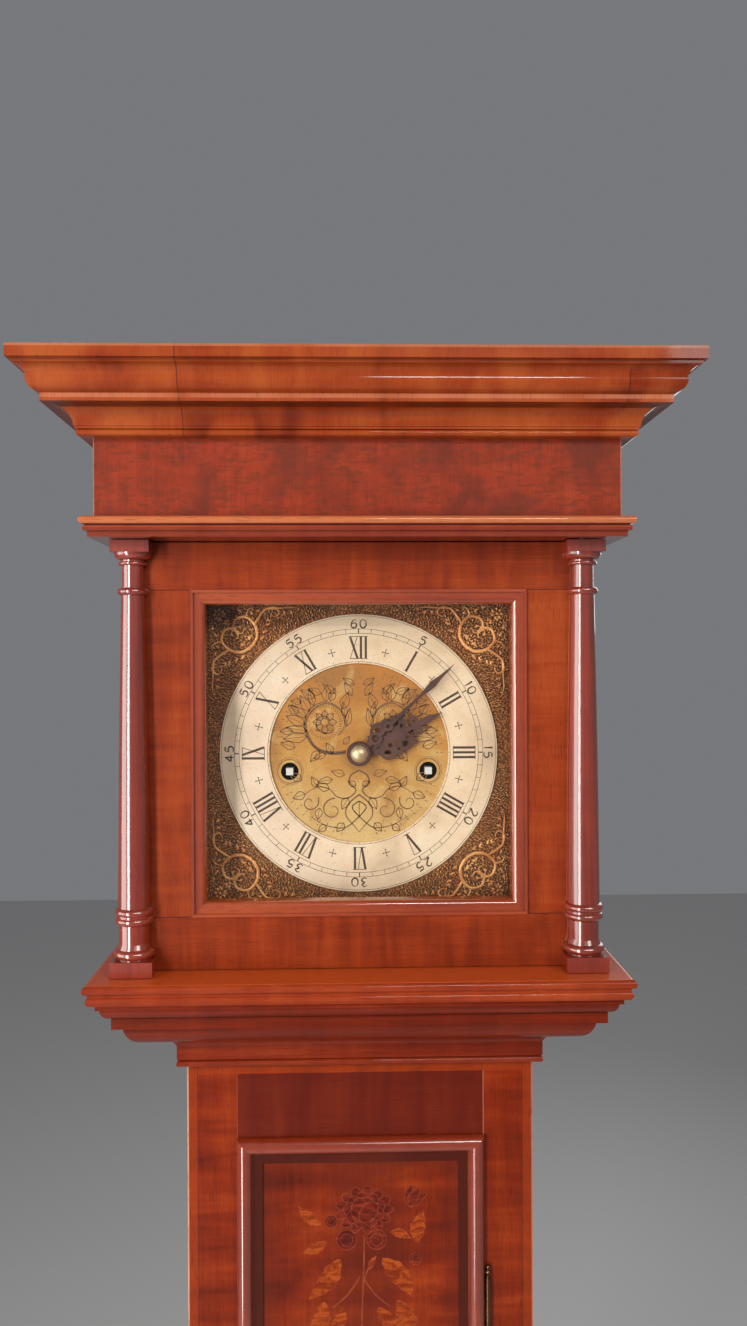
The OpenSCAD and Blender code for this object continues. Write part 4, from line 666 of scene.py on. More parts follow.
class Shape:
    # gathers closed pieces that lie against an upright face
    def __init__(self):
        self.points = []
        self.faces = []

    def add(self, points, faces):
        start = len(self.points)
        self.points += points
        self.faces += [[start + i for i in face] for face in faces]

    def prism(self, outline, near, far):
        self.add([(x, y, z) for y in (near, far) for x, z in outline], tubeFaces(2, len(outline)))

    def strip(self, line, widths, near, far, closed=False):
        points = []
        for (lx, lz), (rx, rz) in zip(*edgesOf(line, widths, closed)):
            points += [(lx, near, lz), (rx, near, rz), (rx, far, rz), (lx, far, lz)]
        self.add(points, tubeFaces(len(line), 4, closed))

    def vine(self, line, radii, base, height):
        # a half-round stem that stands off the face towards -Y
        rows = ((0.0, 0.0), (0.12, 0.62), (0.32, 0.92), (0.5, 1.0), (0.68, 0.92), (0.88, 0.62),
                (1.0, 0.0))
        points = []
        for (lx, lz), (rx, rz), radius in zip(*edgesOf(line, radii), radii):
            rise = height * (0.35 + 0.65 * radius / max(radii))
            points += [(lx + (rx - lx) * u, base - rise * h, lz + (rz - lz) * u) for u, h in rows]
        self.add(points, tubeFaces(len(line), len(rows)))

    def drop(self, x, z, wide, tall, angle, base, height):
        # a domed bead or petal, whose last ring is closed by a point and not by a lid
        rings, sides = ((1.0, 0.0), (0.86, 0.55), (0.5, 0.9)), 12
        points = []
        for size, rise in rings:
            points += [(u, base - rise * height, v)
                       for u, v in ellipse(x, z, size * wide, size * tall, angle, sides)]
        faces = tubeFaces(len(rings), sides)[:-1]
        faces += [[2 * sides + k, 2 * sides + (k + 1) % sides, 3 * sides] for k in range(sides)]
        self.add(points + [(x, base - height, z)], faces)

    def mirrored(self):
        self.add([(-x, y, z) for x, y, z in self.points], self.faces)

    def build(self, name, body, slot, material, stands="", smooth=False):
        mesh = bpy.data.meshes.new(name)
        mesh.from_pydata(self.points, [], self.faces)
        shell = bmesh.new()
        shell.from_mesh(mesh)
        bmesh.ops.recalc_face_normals(shell, faces=shell.faces)
        shell.to_mesh(mesh)
        shell.free()
        mesh.materials.append(material)
        if smooth:
            mesh.shade_smooth()
        piece = bpy.data.objects.new(name, mesh)
        bpy.context.scene.collection.objects.link(piece)
        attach(piece, body)
        if stands:
            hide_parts(stands)
        return piece


def edgesOf(line, widths, closed=False):
    left, right = [], []
    n = len(line)
    for i, (x, z) in enumerate(line):
        before = line[(i - 1) % n] if closed or i else line[0]
        after = line[(i + 1) % n] if closed or i < n - 1 else line[-1]
        dx, dz = after[0] - before[0], after[1] - before[1]
        length = math.hypot(dx, dz) or 1.0
        nx, nz = -dz / length * widths[i], dx / length * widths[i]
        left.append((x - nx, z - nz))
        right.append((x + nx, z + nz))
    return left, right


def smoothLine(points, steps=8):
    # a curve through all the points
    line = []
    for i in range(len(points) - 1):
        p0, p1 = points[max(i - 1, 0)], points[i]
        p2, p3 = points[i + 1], points[min(i + 2, len(points) - 1)]
        for k in range(steps):
            t = k / steps
            line.append(tuple(0.5 * (2 * b + (c - a) * t + (2 * a - 5 * b + 4 * c - d) * t * t
                                     + (3 * b - a - 3 * c + d) * t ** 3)
                              for a, b, c, d in zip(p0, p1, p2, p3)))
    return line + [points[-1]]


def spiral(x, z, outer, inner, start, turn, count=40):
    # angles in degrees, anticlockwise from +X
    line = []
    for i in range(count + 1):
        u = i / count
        radius = outer + (inner - outer) * u ** 0.8
        angle = math.radians(start + turn * u)
        line.append((x + radius * math.cos(angle), z + radius * math.sin(angle)))
    return line


def taper(count, wide, thin, swell=0.0):
    return [thin + (wide - thin) * (1 - i / (count - 1)) + swell * math.sin(math.pi * i / (count - 1))
            for i in range(count)]


print("stage: chapter ring")

chapterRing = dict(
    numerals=(0.0858, 0.1058), bar=0.00105, hair=0.00028, serif=0.0006,
    # radius and half width of each engraved circle
    circles=((0.1087, 0.00019), (0.1128, 0.00019), (0.0829, 0.00019), (0.1246, 0.00016)),
    ticks=(0.1087, 0.1128), hourTick=0.0005, minuteTick=0.0002, quarters=(0.0817, 0.0829),
    minutes=(0.1136, 0.1214), digitWide=0.0068, oneWide=0.0032, digitGap=0.0016, digitHalf=0.0003,
    digitSwell=0.0004,
    halfHour=0.094, arms=((-0.0028, 0), (0.0028, 0), (0, -0.003), (0, 0.003)), arm=0.0003, dot=0.0006,
    thick=0.00006, sunk=0.0001)
strokes = {
    # each stroke: from (u, v) to (u, v) in numeral widths and heights, and whether it is thick
    "I": (0.0044, [((0.5, 0), (0.5, 1), 1)]),
    "V": (0.0082, [((0.1, 1), (0.52, 0), 1), ((0.9, 1), (0.56, 0), 0)]),
    "X": (0.0086, [((0.1, 1), (0.9, 0), 1), ((0.88, 1), (0.12, 0), 0)]),
}
digits = {
    "0": [[(0.5, 1), (0.16, 0.8), (0.1, 0.5), (0.16, 0.2), (0.5, 0), (0.84, 0.2), (0.9, 0.5),
           (0.84, 0.8), (0.5, 1)]],
    "1": [[(0.3, 0.8), (0.52, 1.0), (0.52, 0.5), (0.52, 0)]],
    "2": [[(0.14, 0.76), (0.3, 0.97), (0.66, 0.95), (0.8, 0.72), (0.5, 0.36), (0.12, 0.03),
           (0.5, 0.06), (0.9, 0.04)]],
    "3": [[(0.16, 0.88), (0.5, 1.0), (0.8, 0.78), (0.46, 0.55), (0.86, 0.3), (0.5, 0.0),
           (0.12, 0.12)]],
    "4": [[(0.66, 0), (0.66, 0.5), (0.66, 1)], [(0.66, 1), (0.34, 0.6), (0.06, 0.3)],
          [(0.06, 0.3), (0.5, 0.3), (0.96, 0.3)]],
    "5": [[(0.84, 0.98), (0.5, 0.96), (0.24, 0.97)], [(0.24, 0.97), (0.2, 0.56), (0.6, 0.62),
          (0.86, 0.34), (0.56, 0.02), (0.12, 0.1)]],
    "6": [[(0.78, 0.94), (0.4, 0.86), (0.16, 0.5), (0.2, 0.14), (0.52, 0.0), (0.84, 0.2),
           (0.78, 0.5), (0.46, 0.58), (0.18, 0.4)]],
}


def onDial(points, clockwise):
    # u runs clockwise and v outward from the middle of the dial
    return turned(points, *dialCentre, -clockwise)


def drawNumeral(stroke, text, clockwise, spec):
    low, high = spec["numerals"]
    total = sum(strokes[letter][0] for letter in text)
    start = -total / 2
    for letter in text:
        width, lines = strokes[letter]
        for (u0, v0), (u1, v1), thick in lines:
            stroke([(start + u * width, low + v * (high - low)) for u, v in ((u0, v0), (u1, v1))],
                   spec["bar"] if thick else spec["hair"], clockwise)
        start += width
    reach = total / 2 - spec["serif"]
    for v in (low, high):
        stroke([(-reach, v), (reach, v)], spec["hair"], clockwise)


def drawMinutes(stroke, number, clockwise, spec):
    low, high = spec["minutes"]
    wide = [spec["oneWide"] if digit == "1" else spec["digitWide"] for digit in number]
    left = -(sum(wide) + spec["digitGap"] * (len(wide) - 1)) / 2
    for digit, room in zip(number, wide):
        for route in digits[digit]:
            stroke([(left + u * room, low + v * (high - low)) for u, v in smoothLine(route, 5)],
                   spec["digitHalf"], clockwise, spec["digitSwell"])
        left += room + spec["digitGap"]


def drawRing(spec):
    marks = Shape()
    near, far = ringFace - spec["thick"], ringFace + spec["sunk"]

    def stroke(points, half, clockwise, swell=0.0):
        marks.strip(onDial(points, clockwise), taper(len(points), half, half, swell), near, far)

    for radius, half in spec["circles"]:
        circle = ellipse(*dialCentre, radius, radius, count=180)
        marks.strip(circle, [half] * 180, near, far, closed=True)
    for minute in range(60):
        half = spec["minuteTick"] if minute % 5 else spec["hourTick"]
        stroke([(0, v) for v in spec["ticks"]], half, minute * math.tau / 60)
    for hour, text in enumerate("XII I II III IIII V VI VII VIII IX X XI".split()):
        angle = hour * math.tau / 12
        drawNumeral(stroke, text, angle, spec)
        drawMinutes(stroke, str(hour * 5 or 60), angle, spec)
        between = angle + math.tau / 24
        tips = [(u, spec["halfHour"] + v) for u, v in spec["arms"]]
        for pair in (tips[:2], tips[2:]):
            stroke(pair, spec["arm"], between)
        for u, v in tips:
            dot = ellipse(u, v, spec["dot"], spec["dot"], count=8)
            marks.prism(onDial(dot, between), near, far)
        for quarter in range(4):
            tick = angle + quarter * math.tau / 48
            stroke([(0, v) for v in spec["quarters"]], spec["minuteTick"], tick)
    marks.build("ring_marks", "case", "silvered_brass", inkLook("ring_marks"))


drawRing(chapterRing)

print("stage: dial centre")

# places are in millimetres from the middle of the dial, for its right half
dialEngraving = dict(
    line=0.00042, thick=0.00005, sunk=0.0001,
    # the large scroll above each winding hole: x, z and the way each point moves on its inner line
    scroll=((12, 0, 0, 1), (24, -1, 0, 1), (36, 2, 0, 1), (45, 11, -1, 0), (49.5, 26, -1, 0),
            (44, 40, -1, -1), (30, 46.5, 0, -1), (16, 39, 1, 0), (11.5, 26, 1, 0), (18, 16, 1, 0)),
    insets=(0.0, 1.5), scrollWidth=1.7,
    # the flower in its eye
    eye=(31, 28), petals=(3, 8.0, 6.0),
    # short cuts inside the scroll and along its back, and those on the ground of the leaves
    shading=dict(cuts=34, start=30, every=9, outer=16.2, inner=13.4, slant=0.12, width=0.45),
    hatching=dict(cuts=26, start=18, every=6, reaches=(70, 74), gap=-16, clear=12, longer=1.03,
                  slant=0.4, width=0.5),
    # x, z, direction, length, width
    leaves=((49, 26, 25, 19, 9), (47, 15, -5, 22, 9), (45, 38, 60, 17, 8), (30, 47, 95, 15, 8),
            (15, 40, 110, 16, 8), (11, 24, 100, 17, 6), (36, 2, -50, 13, 7), (24, -1, 60, 12, 6),
            (55, 36, 40, 12, 7), (58, 5, 20, 14, 7), (6, 52, 60, 14, 6), (22, 54, 40, 14, 6),
            (40, 50, 30, 15, 7), (52, 46, 10, 10, 5), (14, 8, 130, 9, 5), (47, 20, 10, 20, 7),
            (48, 32, 40, 18, 7), (41, 43, 75, 16, 6), (26, 47, 110, 13, 6), (12, 32, 80, 15, 5),
            (30, -1, -20, 12, 5), (60, 20, 0, 12, 6), (34, 54, 20, 13, 6), (4, 62, 30, 12, 5),
            (0, -44, -90, 14, 12), (10, -41, -60, 12, 7), (27, -33, 20, 13, 7), (38, -31, 60, 11, 6),
            (49, -37, -20, 12, 7), (30, -66, -35, 9, 6), (14, -64, -50, 10, 7), (36, -50, -80, 11, 6),
            (13, -20, 15, 13, 6), (24, -24, -10, 14, 6), (52, -25, 30, 13, 7), (3, -30, 30, 8, 5)),
    # middle, outer and inner radius, start and turn in degrees, width
    spirals=((31, 28, 11.5, 4, 230, 300, 1.2), (24, -52, 11, 2.5, 100, -400, 1.0),
             (45, -45, 9, 2, 150, 380, 1.0)),
    # route and width of the curves of the vase-like motif under the middle
    vase=((((0, -16), (7, -20), (9, -27), (3, -34), (10, -41), (20, -40), (27, -33), (38, -31),
            (49, -37)), 1.4), (((0, -38), (10, -47), (12, -57), (5, -66), (0, -72)), 1.2),
          (((0, -58), (13, -68), (30, -66), (44, -58)), 1.0)),
    # radius and half width of the rings round the winding squares
    rings=((0.0108, 0.0004), (0.0124, 0.0002)))


def drawEngraving(spec):
    lines = Shape()
    near, far = plateFace - spec["thick"], plateFace + spec["sunk"]
    line = spec["line"]

    def onPlate(points):
        return [(x * mm, dialZ + z * mm) for x, z in points]

    def cut(points, wide=1.0):
        widths = taper(len(points), line * 1.5 * wide, line * 0.7)
        lines.strip(onPlate(points), widths, near, far)

    def leaf(x, z, degrees, length, wide):
        # two edges and a finer vein
        for bow in (-1, 1, 0):
            edge = [(0, 0), (0.3 * length, 0.5 * bow * wide), (0.6 * length, 0.42 * bow * wide),
                    (length, 0)]
            curve = smoothLine(turned(edge, x, z, math.radians(degrees)), 5)
            lines.strip(onPlate(curve), [line * (1.0 if bow else 0.6)] * len(curve), near, far)

    for inset in spec["insets"]:
        route = [(x + dx * inset, z + dz * inset) for x, z, dx, dz in spec["scroll"]]
        cut(smoothLine(route), spec["scrollWidth"])
    out, length, wide = spec["petals"]
    for degrees in range(0, 360, 45):
        leaf(*turned([(out, 0)], *spec["eye"], math.radians(degrees))[0], degrees, length, wide)
    for placed in spec["leaves"]:
        leaf(*placed)
    for *coil, wide in spec["spirals"]:
        cut(spiral(*coil), wide)
    for route, wide in spec["vase"]:
        cut(smoothLine(route, 7), wide)
    shading, hatching = spec["shading"], spec["hatching"]
    inner = turned([(shading["inner"], 0)], 0, 0, shading["slant"])[0]
    for k in range(shading["cuts"]):
        angle = math.radians(shading["start"] + k * shading["every"])
        cut(turned([(shading["outer"], 0), inner], *spec["eye"], angle), shading["width"])
    for k in range(hatching["cuts"]):
        angle = math.radians(hatching["start"] + k * hatching["every"])
        for reach in hatching["reaches"]:
            x, z = reach * math.sin(angle), reach * math.cos(angle)
            end = (x * hatching["longer"] + hatching["slant"], z * hatching["longer"])
            if abs(z - hatching["gap"]) > hatching["clear"]:
                cut([(x, z), end], hatching["width"])
    lines.mirrored()
    for winder in (timeWinder, strikeWinder):
        for reach, half in spec["rings"]:
            ring = ellipse(*winder, reach, reach, count=60)
            lines.strip(ring, [half] * 60, near, far, closed=True)
    lines.build("dial_engraving", "case", "gilt_brass", inkLook("dial_engraving", (0.21, 0.085, 0.03)))


drawEngraving(dialEngraving)

print("stage: spandrels")

# in millimetres from the middle of the dial, for the upper right corner
cornerCasting = dict(
    base=plateFace, height=0.0024,
    # route, steps between its points, width at its root and tip, what it swells, height
    scrolls=((((97, 97), (106, 92), (117, 94), (124, 102), (121, 112), (112, 113), (109, 106),
               (114, 103)), 8, 2.0, 0.9, 0.5, 1.0),
             (((117, 94), (124, 90), (131, 84), (132, 75), (127, 72), (124, 77), (128, 79)),
              8, 1.7, 0.7, 0.4, 0.9),
             (((131, 84), (132, 70), (132.5, 58), (130, 50)), 8, 1.3, 0.4, 0.5, 0.8),
             (((124, 102), (131, 99), (132.5, 92)), 6, 1.4, 0.5, 0.3, 0.8)),
    # widths at the root and the tip, swell and height of a leaf, and how far its end turns
    leafWidths=(1.7, 0.35, 0.6), leafTall=0.85, leafCurl=0.35,
    # x, z, direction, length
    leaves=((104, 89, -60, 5.5), (110, 87, -75, 6), (117, 84, -80, 6), (121, 83, -95, 5),
            (126, 96, 20, 5), (128, 106, 40, 6), (120, 117, 75, 6), (112, 119, 100, 6), (103, 99, 10, 5),
            (129, 67, 180, 4.5), (129.5, 61, 190, 4), (130, 89, 100, 4.5), (116, 108, 200, 3.6),
            (99, 104, 120, 5), (132, 112, 80, 4), (126, 120, 60, 5)),
    # x, z, petals, how far out they lie, half width, half length, turn
    rosettes=((126.5, 126.5, 7, 4.2, 1.6, 2.6, 45), (126.5, 126.5, 1, 0, 1.9, 1.9, 0),
              (115, 115, 5, 3.4, 1.2, 2.0, 45), (104, 104, 5, 2.6, 1.0, 1.6, 45)),
    sideRosettes=((133, 104, 3, 1.7, 0.8, 1.2, 90), (132.5, 118, 4, 2.0, 0.8, 1.2, 0)),
    beads=((121, 90), (112, 97), (128, 86), (107, 97), (118, 122), (110, 124), (131, 54), (123, 96)),
    bead=1.1, petalTall=0.9,
    ground=dict(tries=3600, left=30, low=88, edge=135.4, ring=128.6, sizes=(0.75, 1.6), crowd=0.84,
                aim=112, turns=(60, 90, 120), wide=0.55, long=1.25))


def fillCorner(petals, spec):
    # small leaves and beads crowd the ground between the scrolls
    placed = []
    for _ in range(spec["tries"]):
        x = random.uniform(spec["left"], spec["edge"])
        z = random.uniform(spec["low"], spec["edge"])
        size = random.uniform(*spec["sizes"])
        if z < x or math.hypot(x, z) < spec["ring"]:
            continue
        if any(math.hypot(x - px, z - pz) < (size + ps) * spec["crowd"] for px, pz, ps in placed):
            continue
        placed.append((x, z, size))
        away = math.degrees(math.atan2(z - spec["aim"], x - spec["aim"]))
        turn = away + random.choice(spec["turns"])
        petals(x, z, 1, 0, size * spec["wide"], size * spec["long"], turn)


def drawSpandrels(spec):
    casting = Shape()
    base, height = spec["base"], spec["height"]

    def twice(line, radii, tall=1.0):
        for flip in (False, True):
            points = [(z * mm, x * mm) if flip else (x * mm, z * mm) for x, z in line]
            casting.vine(points, [r * mm for r in radii], base, height * tall)

    def petals(x, z, count, reach, wide, tall, turn=0.0, both=True):
        for k in range(count):
            a = math.radians(turn + k * 360 / count)
            px, pz = x + reach * math.cos(a), z + reach * math.sin(a)
            for flip in ((False, True) if both else (False,)):
                qx, qz, qa = (pz, px, math.pi / 2 - a) if flip else (px, pz, a)
                casting.drop(qx * mm, qz * mm, tall * mm, wide * mm, qa, base,
                             height * spec["petalTall"])

    for route, steps, root, tip, swell, tall in spec["scrolls"]:
        line = smoothLine(route, steps)
        twice(line, taper(len(line), root, tip, swell), tall)
    for x, z, degrees, size in spec["leaves"]:
        a = math.radians(degrees)
        b = a + spec["leafCurl"]
        line = smoothLine([(x, z), (x + size * 0.5 * math.cos(a), z + size * 0.5 * math.sin(a)),
                           (x + size * math.cos(b), z + size * math.sin(b))], 4)
        twice(line, taper(len(line), *spec["leafWidths"]), spec["leafTall"])
    for rosette in spec["rosettes"]:
        petals(*rosette, both=False)
    for rosette in spec["sideRosettes"]:
        petals(*rosette)
    for x, z in spec["beads"]:
        petals(x, z, 1, 0, spec["bead"], spec["bead"])
    fillCorner(petals, spec["ground"])
    quarter, faces = list(casting.points), list(casting.faces)
    for turn in range(1, 4):
        c, s = math.cos(turn * math.pi / 2), math.sin(turn * math.pi / 2)
        casting.add([(x * c - z * s, y, x * s + z * c) for x, y, z in quarter], faces)
    casting.points = [(x, y, z + dialZ) for x, y, z in casting.points]
    casting.build("corner_castings", "case", "gilt_brass", castLook("corner_castings"),
                  stands="spandrels", smooth=True)


drawSpandrels(cornerCasting)

print("stage: door flowers")

# veneer of other woods let into the sunk field of the trunk door, a hair proud of it; places are
# in millimetres, x from the middle and z from the floor
doorFlowers = dict(
    field=-0.0224, lift=0.00001, sunk=0.0002, edging=0.0002, stem=0.0007, stemLift=0.0000005,
    handleHalf=0.0016, lineTints=((0.22, 0.032, 0.012), (0.33, 0.06, 0.024)),
    # how far out each ring of petals lies, its turn, and the size of a petal
    ringOut=(0.74, 0.46, 0.18), ringTurn=0.3, petalWide=0.27, petalLong=2.1,
    tulipTurns=(-24, 24, 0), tulipWide=0.42, roundCore=0.62,
    # x, z, half width, half height, petals in each ring
    blooms=((3, 1350, 26, 20, (13, 9, 5)), (0, 1118, 21, 19, (10, 7, 4)),
            (0, 968, 23, 21, (11, 8, 4)), (0, 842, 17, 16, (9, 6, 3))),
    sideBlooms=((51, 1196, 17, 16, (9, 6, 3)), (50, 1030, 18, 17, (9, 6, 3)),
                (52, 880, 15, 14, (8, 5, 3)), (38, 790, 9, 9, (6, 4, 3))),
    # x, z, direction, length, width
    leaves=((-36, 1337, 140, 27, 10), (-31, 1322, 205, 24, 9), (50, 1319, 78, 31, 13),
            (27, 1330, -20, 19, 8), (7, 1296, 62, 14, 5)),
    sideLeaves=((19, 1306, -52, 46, 17), (33, 1268, -72, 42, 16), (15, 1262, -62, 34, 12),
                (10, 1215, 40, 34, 11), (36, 1228, 100, 26, 9), (14, 1176, -30, 30, 10),
                (30, 1150, 10, 36, 12), (60, 1150, 70, 22, 8), (16, 1080, -20, 34, 11),
                (34, 1072, 60, 24, 8), (62, 1062, 80, 26, 9), (24, 1002, 130, 22, 8),
                (30, 952, 20, 36, 12), (14, 918, -40, 34, 11), (62, 930, 95, 28, 9),
                (18, 872, 30, 30, 10), (34, 838, -15, 34, 11), (12, 806, 40, 26, 8),
                (60, 828, 60, 22, 8), (26, 610, 165, 24, 9), (36, 600, 10, 34, 11),
                (60, 580, 60, 24, 8), (22, 578, 200, 20, 7), (44, 562, 20, 28, 9)),
    rounds=((-13, 1323, 9), (14, 1323, 9), (-27, 1340, 5.5), (49, 1305, 5.5)),
    tulips=((44, 1352, 62, 20),), sideTulips=((62, 1106, 70, 20), (64, 958, 50, 20)),
    stems=(((3, 1328), (2, 1290), (0, 1235), (1, 1180), (0, 1118), (-1, 1040), (0, 968), (1, 900),
            (0, 842), (0, 770)), ((2, 1284), (6, 1296), (12, 1304))),
    sideStems=(((1, 1150), (14, 1178), (34, 1190), (51, 1196)), ((1, 1290), (12, 1274), (26, 1262)),
               ((0, 1060), (16, 1078), (42, 1076), (62, 1106)),
               ((0, 990), (16, 1010), (34, 1012), (50, 1030)),
               ((0, 900), (22, 918), (48, 926), (64, 958)),
               ((0, 850), (20, 858), (36, 858), (52, 880)),
               ((0, 790), (14, 804), (28, 798), (38, 790)),
               ((12, 620), (34, 606), (56, 586), (66, 560))),
    vase=((7, 770), (13, 766), (9, 757), (8, 747), (25, 728), (32, 702), (27, 674), (11, 655), (9, 646),
          (20, 639), (22, 630)),
    foot=((-50, 630), (50, 630), (46, 624), (-46, 624)),
    handle=((9, 752), (26, 757), (40, 744), (42, 726), (30, 716)))


def leafOutline(x, z, degrees, length, wide):
    near, far = [], []
    for k in range(25):
        u = k / 24
        half = wide / 2 * math.sin(math.pi * u ** 0.8) * (1 + 0.1 * math.sin(9 * math.pi * u))
        bow = 0.16 * wide * math.sin(math.pi * u)
        near.append((u * length, half + bow))
        far.append((u * length, bow - half))
    return turned(near + far[-2:0:-1], x, z, math.radians(degrees))


class Inlay:
    # the shapes of one wood, and the thin light line round each of them
    def __init__(self, spec):
        self.spec = spec
        self.wood = Shape()
        self.line = Shape()
        self.count = 0

    def cut(self, outline):
        # each shape lies a shaving above the one before, so that no two share a face
        self.count = self.count % 40 + 1
        outline = [(x * mm, z * mm) for x, z in outline]
        field, lift = self.spec["field"], self.spec["lift"]
        face = field - lift * (self.count + 1)
        self.wood.prism(outline, face, field + self.spec["sunk"])
        self.line.strip(outline, [self.spec["edging"]] * len(outline), face - lift / 2, face + lift / 2,
                        closed=True)

    def bloom(self, x, z, wide, tall, rings):
        self.count = 0
        spec = self.spec
        for ring, (out, petals) in enumerate(zip(spec["ringOut"], rings)):
            for k in range(petals):
                a = k * math.tau / petals + ring * spec["ringTurn"]
                self.cut(ellipse(x + out * wide * math.cos(a), z + out * tall * math.sin(a),
                                 wide * spec["petalWide"], wide * (spec["petalLong"] / petals), a))

    def tulip(self, x, z, degrees, length):
        for turn in self.spec["tulipTurns"]:
            self.cut(leafOutline(x, z, degrees + turn, length, length * self.spec["tulipWide"]))


def veneerLook(name, dark, light):
    look = Look(name, Coat_Weight=0.5, Coat_Roughness=0.06, Coat_IOR=1.5, Specular_IOR_Level=0.08)
    flame, fibre = look.spots(55, 0, 130, 3, 0.6, 1.4), look.spots(900, 0, 160, 2)
    colour = look.blend(look.step(flame + (fibre - 0.5) * 0.25, 0.34, 0.66), dark, light)
    look.wear(Base_Color=colour, Roughness=0.4 + (fibre - 0.5) * 0.2)
    return look.material


def drawFlowers(spec):
    petals, leaves, vase, stems = Inlay(spec), Inlay(spec), Inlay(spec), Shape()
    face, sunk = spec["field"], spec["field"] + spec["sunk"]

    def across(points, side):
        return [(side * x * mm, z * mm) for x, z in points]

    for sides, blooms, leafList, tulips, stemList in (
            ((1,), "blooms", "leaves", "tulips", "stems"),
            ((1, -1), "sideBlooms", "sideLeaves", "sideTulips", "sideStems")):
        for side in sides:
            for x, z, wide, tall, rings in spec[blooms]:
                petals.bloom(side * x, z, wide, tall, rings)
            for x, z, degrees, length, wide in spec[leafList]:
                turn = degrees if side > 0 else 180 - degrees
                leaves.cut(leafOutline(side * x, z, turn, length, wide))
            for x, z, degrees, length in spec[tulips]:
                petals.tulip(side * x, z, degrees if side > 0 else 180 - degrees, length)
            for route in spec[stemList]:
                line = smoothLine(across(route, side), 10)
                face -= spec["stemLift"]
                stems.strip(line, [spec["stem"]] * len(line), face, sunk)
    for x, z, size in spec["rounds"]:
        for part in (size, size * spec["roundCore"]):
            petals.cut(ellipse(x, z, part, part, count=24))
    half = smoothLine(spec["vase"], 4)
    vase.cut(half + [(-x, z) for x, z in half[::-1]])
    for side in (1, -1):
        line = smoothLine(across(spec["handle"], side), 8)
        vase.wood.strip(line, [spec["handleHalf"]] * len(line), spec["field"] - spec["lift"], sunk)
    vase.cut(spec["foot"])
    for name, shape, tints in (
            ("door_petals", petals.wood, ((0.075, 0.006, 0.003), (0.18, 0.018, 0.006))),
            ("door_leaves", leaves.wood, ((0.17, 0.016, 0.0015), (0.37, 0.062, 0.006))),
            ("door_vase", vase.wood, ((0.1, 0.014, 0.006), (0.3, 0.055, 0.012))),
            ("door_stems", stems, ((0.18, 0.03, 0.009), (0.27, 0.052, 0.014))),
            ("petal_lines", petals.line, spec["lineTints"]),
            ("leaf_lines", leaves.line, spec["lineTints"]),
            ("vase_lines", vase.line, spec["lineTints"])):
        shape.build(name, "trunk_door", "walnut", veneerLook(name, *tints))


drawFlowers(doorFlowers)

print("stage: weight lines")

weightLines = dict(strand=0.0009, plies=3, groove=0.07, twist=0.0046, keep=0.115, sides=10,
                   straight=90, round=24)


def linePath(node, spec):
    # the gut from its drum down round the pulley and up to the seatboard
    low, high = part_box(node)
    left, right = low[0] + spec["strand"], high[0] - spec["strand"]
    middle, depth, radius = (left + right) / 2, (low[1] + high[1]) / 2, (right - left) / 2
    bottom = low[2] + spec["strand"] + radius
    # how high the solid's two strands reach
    corners = [v.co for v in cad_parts[node].data.vertices]
    tops = [max(v.z for v in corners if (v.x < middle) == side) for side in (True, False)]
    count = spec["straight"]
    turns = [math.pi + math.pi * k / spec["round"] for k in range(spec["round"] + 1)]
    path = [(left, depth, tops[0] + (bottom - tops[0]) * k / count) for k in range(count)]
    path += [(middle + radius * math.cos(a), depth, bottom + radius * math.sin(a)) for a in turns]
    path += [(right, depth, bottom + (tops[1] - bottom) * k / count) for k in range(1, count + 1)]
    return path, (middle, depth, high[2])


def drawLine(name, node, spec):
    path, anchor = linePath(node, spec)
    path = [Vector(point) for point in path]
    points = []
    run = 0.0
    for i, here in enumerate(path):
        before, after = path[max(i - 1, 0)], path[min(i + 1, len(path) - 1)]
        along = (after - before).normalized()
        out = Vector((along.z, 0.0, -along.x))
        run += (here - before).length
        for k in range(spec["sides"]):
            a = k * math.tau / spec["sides"]
            ply = math.cos(spec["plies"] * (a - run * math.tau / spec["twist"]))
            size = spec["strand"] * (1 - spec["groove"] * (1 - ply))
            points.append(tuple(here + (out * math.cos(a) + Vector((0, 1, 0)) * math.sin(a)) * size))
    line = Shape()
    line.add(points, tubeFaces(len(path), spec["sides"]))
    piece = line.build(name, "case", "gut", gutLook(name), stands=node, smooth=True)
    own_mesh(piece)


drawLine("going_line", "time_line", weightLines)
drawLine("striking_line", "strike_line", weightLines)

print("stage: studio")

studio = dict(
    floor=(0.66, 0.65, 0.64), size=14.0,
    # place, aim, width, height, spread in degrees, watts, colour
    lamps=(("keyLamp", (1.5, -2.3, 3.1), (0, 0, 1.45), 1.2, 1.2, 180, 27, (1.0, 0.955, 0.89)),
           ("windowLamp", (-1.0, -1.42, 1.4), (0, 0, 1.4), 0.3, 2.4, 110, 13.5, (1.0, 0.98, 0.95)),
           ("sideLamp", (-2.5, -0.9, 1.7), (0, 0, 1.5), 2.0, 1.9, 180, 40, (1.0, 0.975, 0.94)),
           ("glintLamp", (0.36, -2.15, 2.86), (0.1, 0, 2.0), 0.6, 0.1, 180, 9, (1.0, 0.96, 0.88)),
           ("backLamp", (1.6, 2.4, 2.6), (0, 0, 1.3), 1.4, 1.4, 180, 14, (0.95, 0.97, 1.0))),
    air=(0.93, 0.95, 1.0), airStrength=0.2)


def pointAt(thing, place, aim):
    thing.location = place
    thing.rotation_euler = (Vector(aim) - Vector(place)).to_track_quat("-Z", "Y").to_euler()


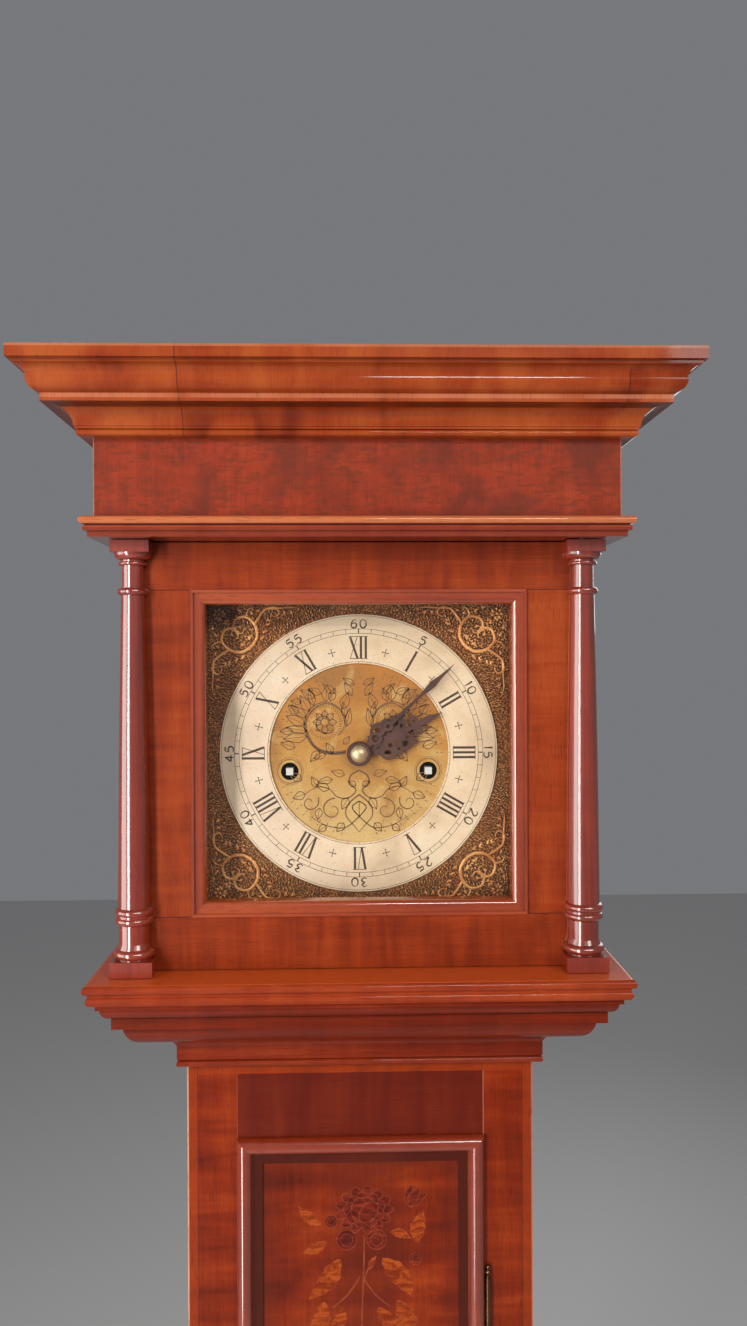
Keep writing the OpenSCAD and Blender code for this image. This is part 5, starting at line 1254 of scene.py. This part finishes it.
def buildStudio(spec):
    mesh = bpy.data.meshes.new("floor")
    half = spec["size"] / 2
    mesh.from_pydata([(-half, -half, 0), (half, -half, 0), (half, half, 0), (-half, half, 0)], [],
                     [(0, 1, 2, 3)])
    floor = bpy.data.objects.new("floor", mesh)
    bpy.context.scene.collection.objects.link(floor)
    look = Look("floor", Roughness=0.7)
    grit = look.noise(look.place(look.x * 60, look.y * 60, 0.0), 4)
    look.wear(Base_Color=look.blend(grit * 0.05, spec["floor"], (0.6, 0.6, 0.6)))
    mesh.materials.append(look.material)
    for name, place, aim, wide, tall, spread, watts, colour in spec["lamps"]:
        lamp = bpy.data.lights.new(name, "AREA")
        lamp.shape = "RECTANGLE"
        lamp.size, lamp.size_y = wide, tall
        lamp.spread = math.radians(spread)
        lamp.energy = watts
        lamp.color = colour
        thing = bpy.data.objects.new(name, lamp)
        bpy.context.scene.collection.objects.link(thing)
        pointAt(thing, place, aim)
    world = bpy.data.worlds.new("studio")
    bpy.context.scene.world = world
    world.use_nodes = True
    tree = world.node_tree
    tree.nodes.clear()
    air = tree.nodes.new("ShaderNodeBackground")
    air.inputs["Color"].default_value = (*spec["air"], 1.0)
    air.inputs["Strength"].default_value = spec["airStrength"]
    end = tree.nodes.new("ShaderNodeOutputWorld")
    tree.links.new(air.outputs[0], end.inputs[0])


buildStudio(studio)

camera = dict(place=(-0.0117, -0.944, 1.8454), right=0.027, up=-0.004, roll=0.004, lens=27.88)


def placeCamera(spec):
    eye = bpy.data.objects.new("camera", bpy.data.cameras.new("camera"))
    eye.data.sensor_fit = "VERTICAL"
    eye.data.sensor_height = 36.0
    eye.data.lens = spec["lens"]
    eye.data.clip_start = 0.01
    turn = (Matrix.Rotation(-spec["right"], 4, "Z") @ Matrix.Rotation(math.pi / 2 + spec["up"], 4, "X")
            @ Matrix.Rotation(-spec["roll"], 4, "Z"))
    eye.matrix_world = Matrix.Translation(spec["place"]) @ turn
    bpy.context.scene.collection.objects.link(eye)
    bpy.context.scene.camera = eye


placeCamera(camera)
bpy.context.scene.view_settings.view_transform = "Standard"


print("stage: finish")
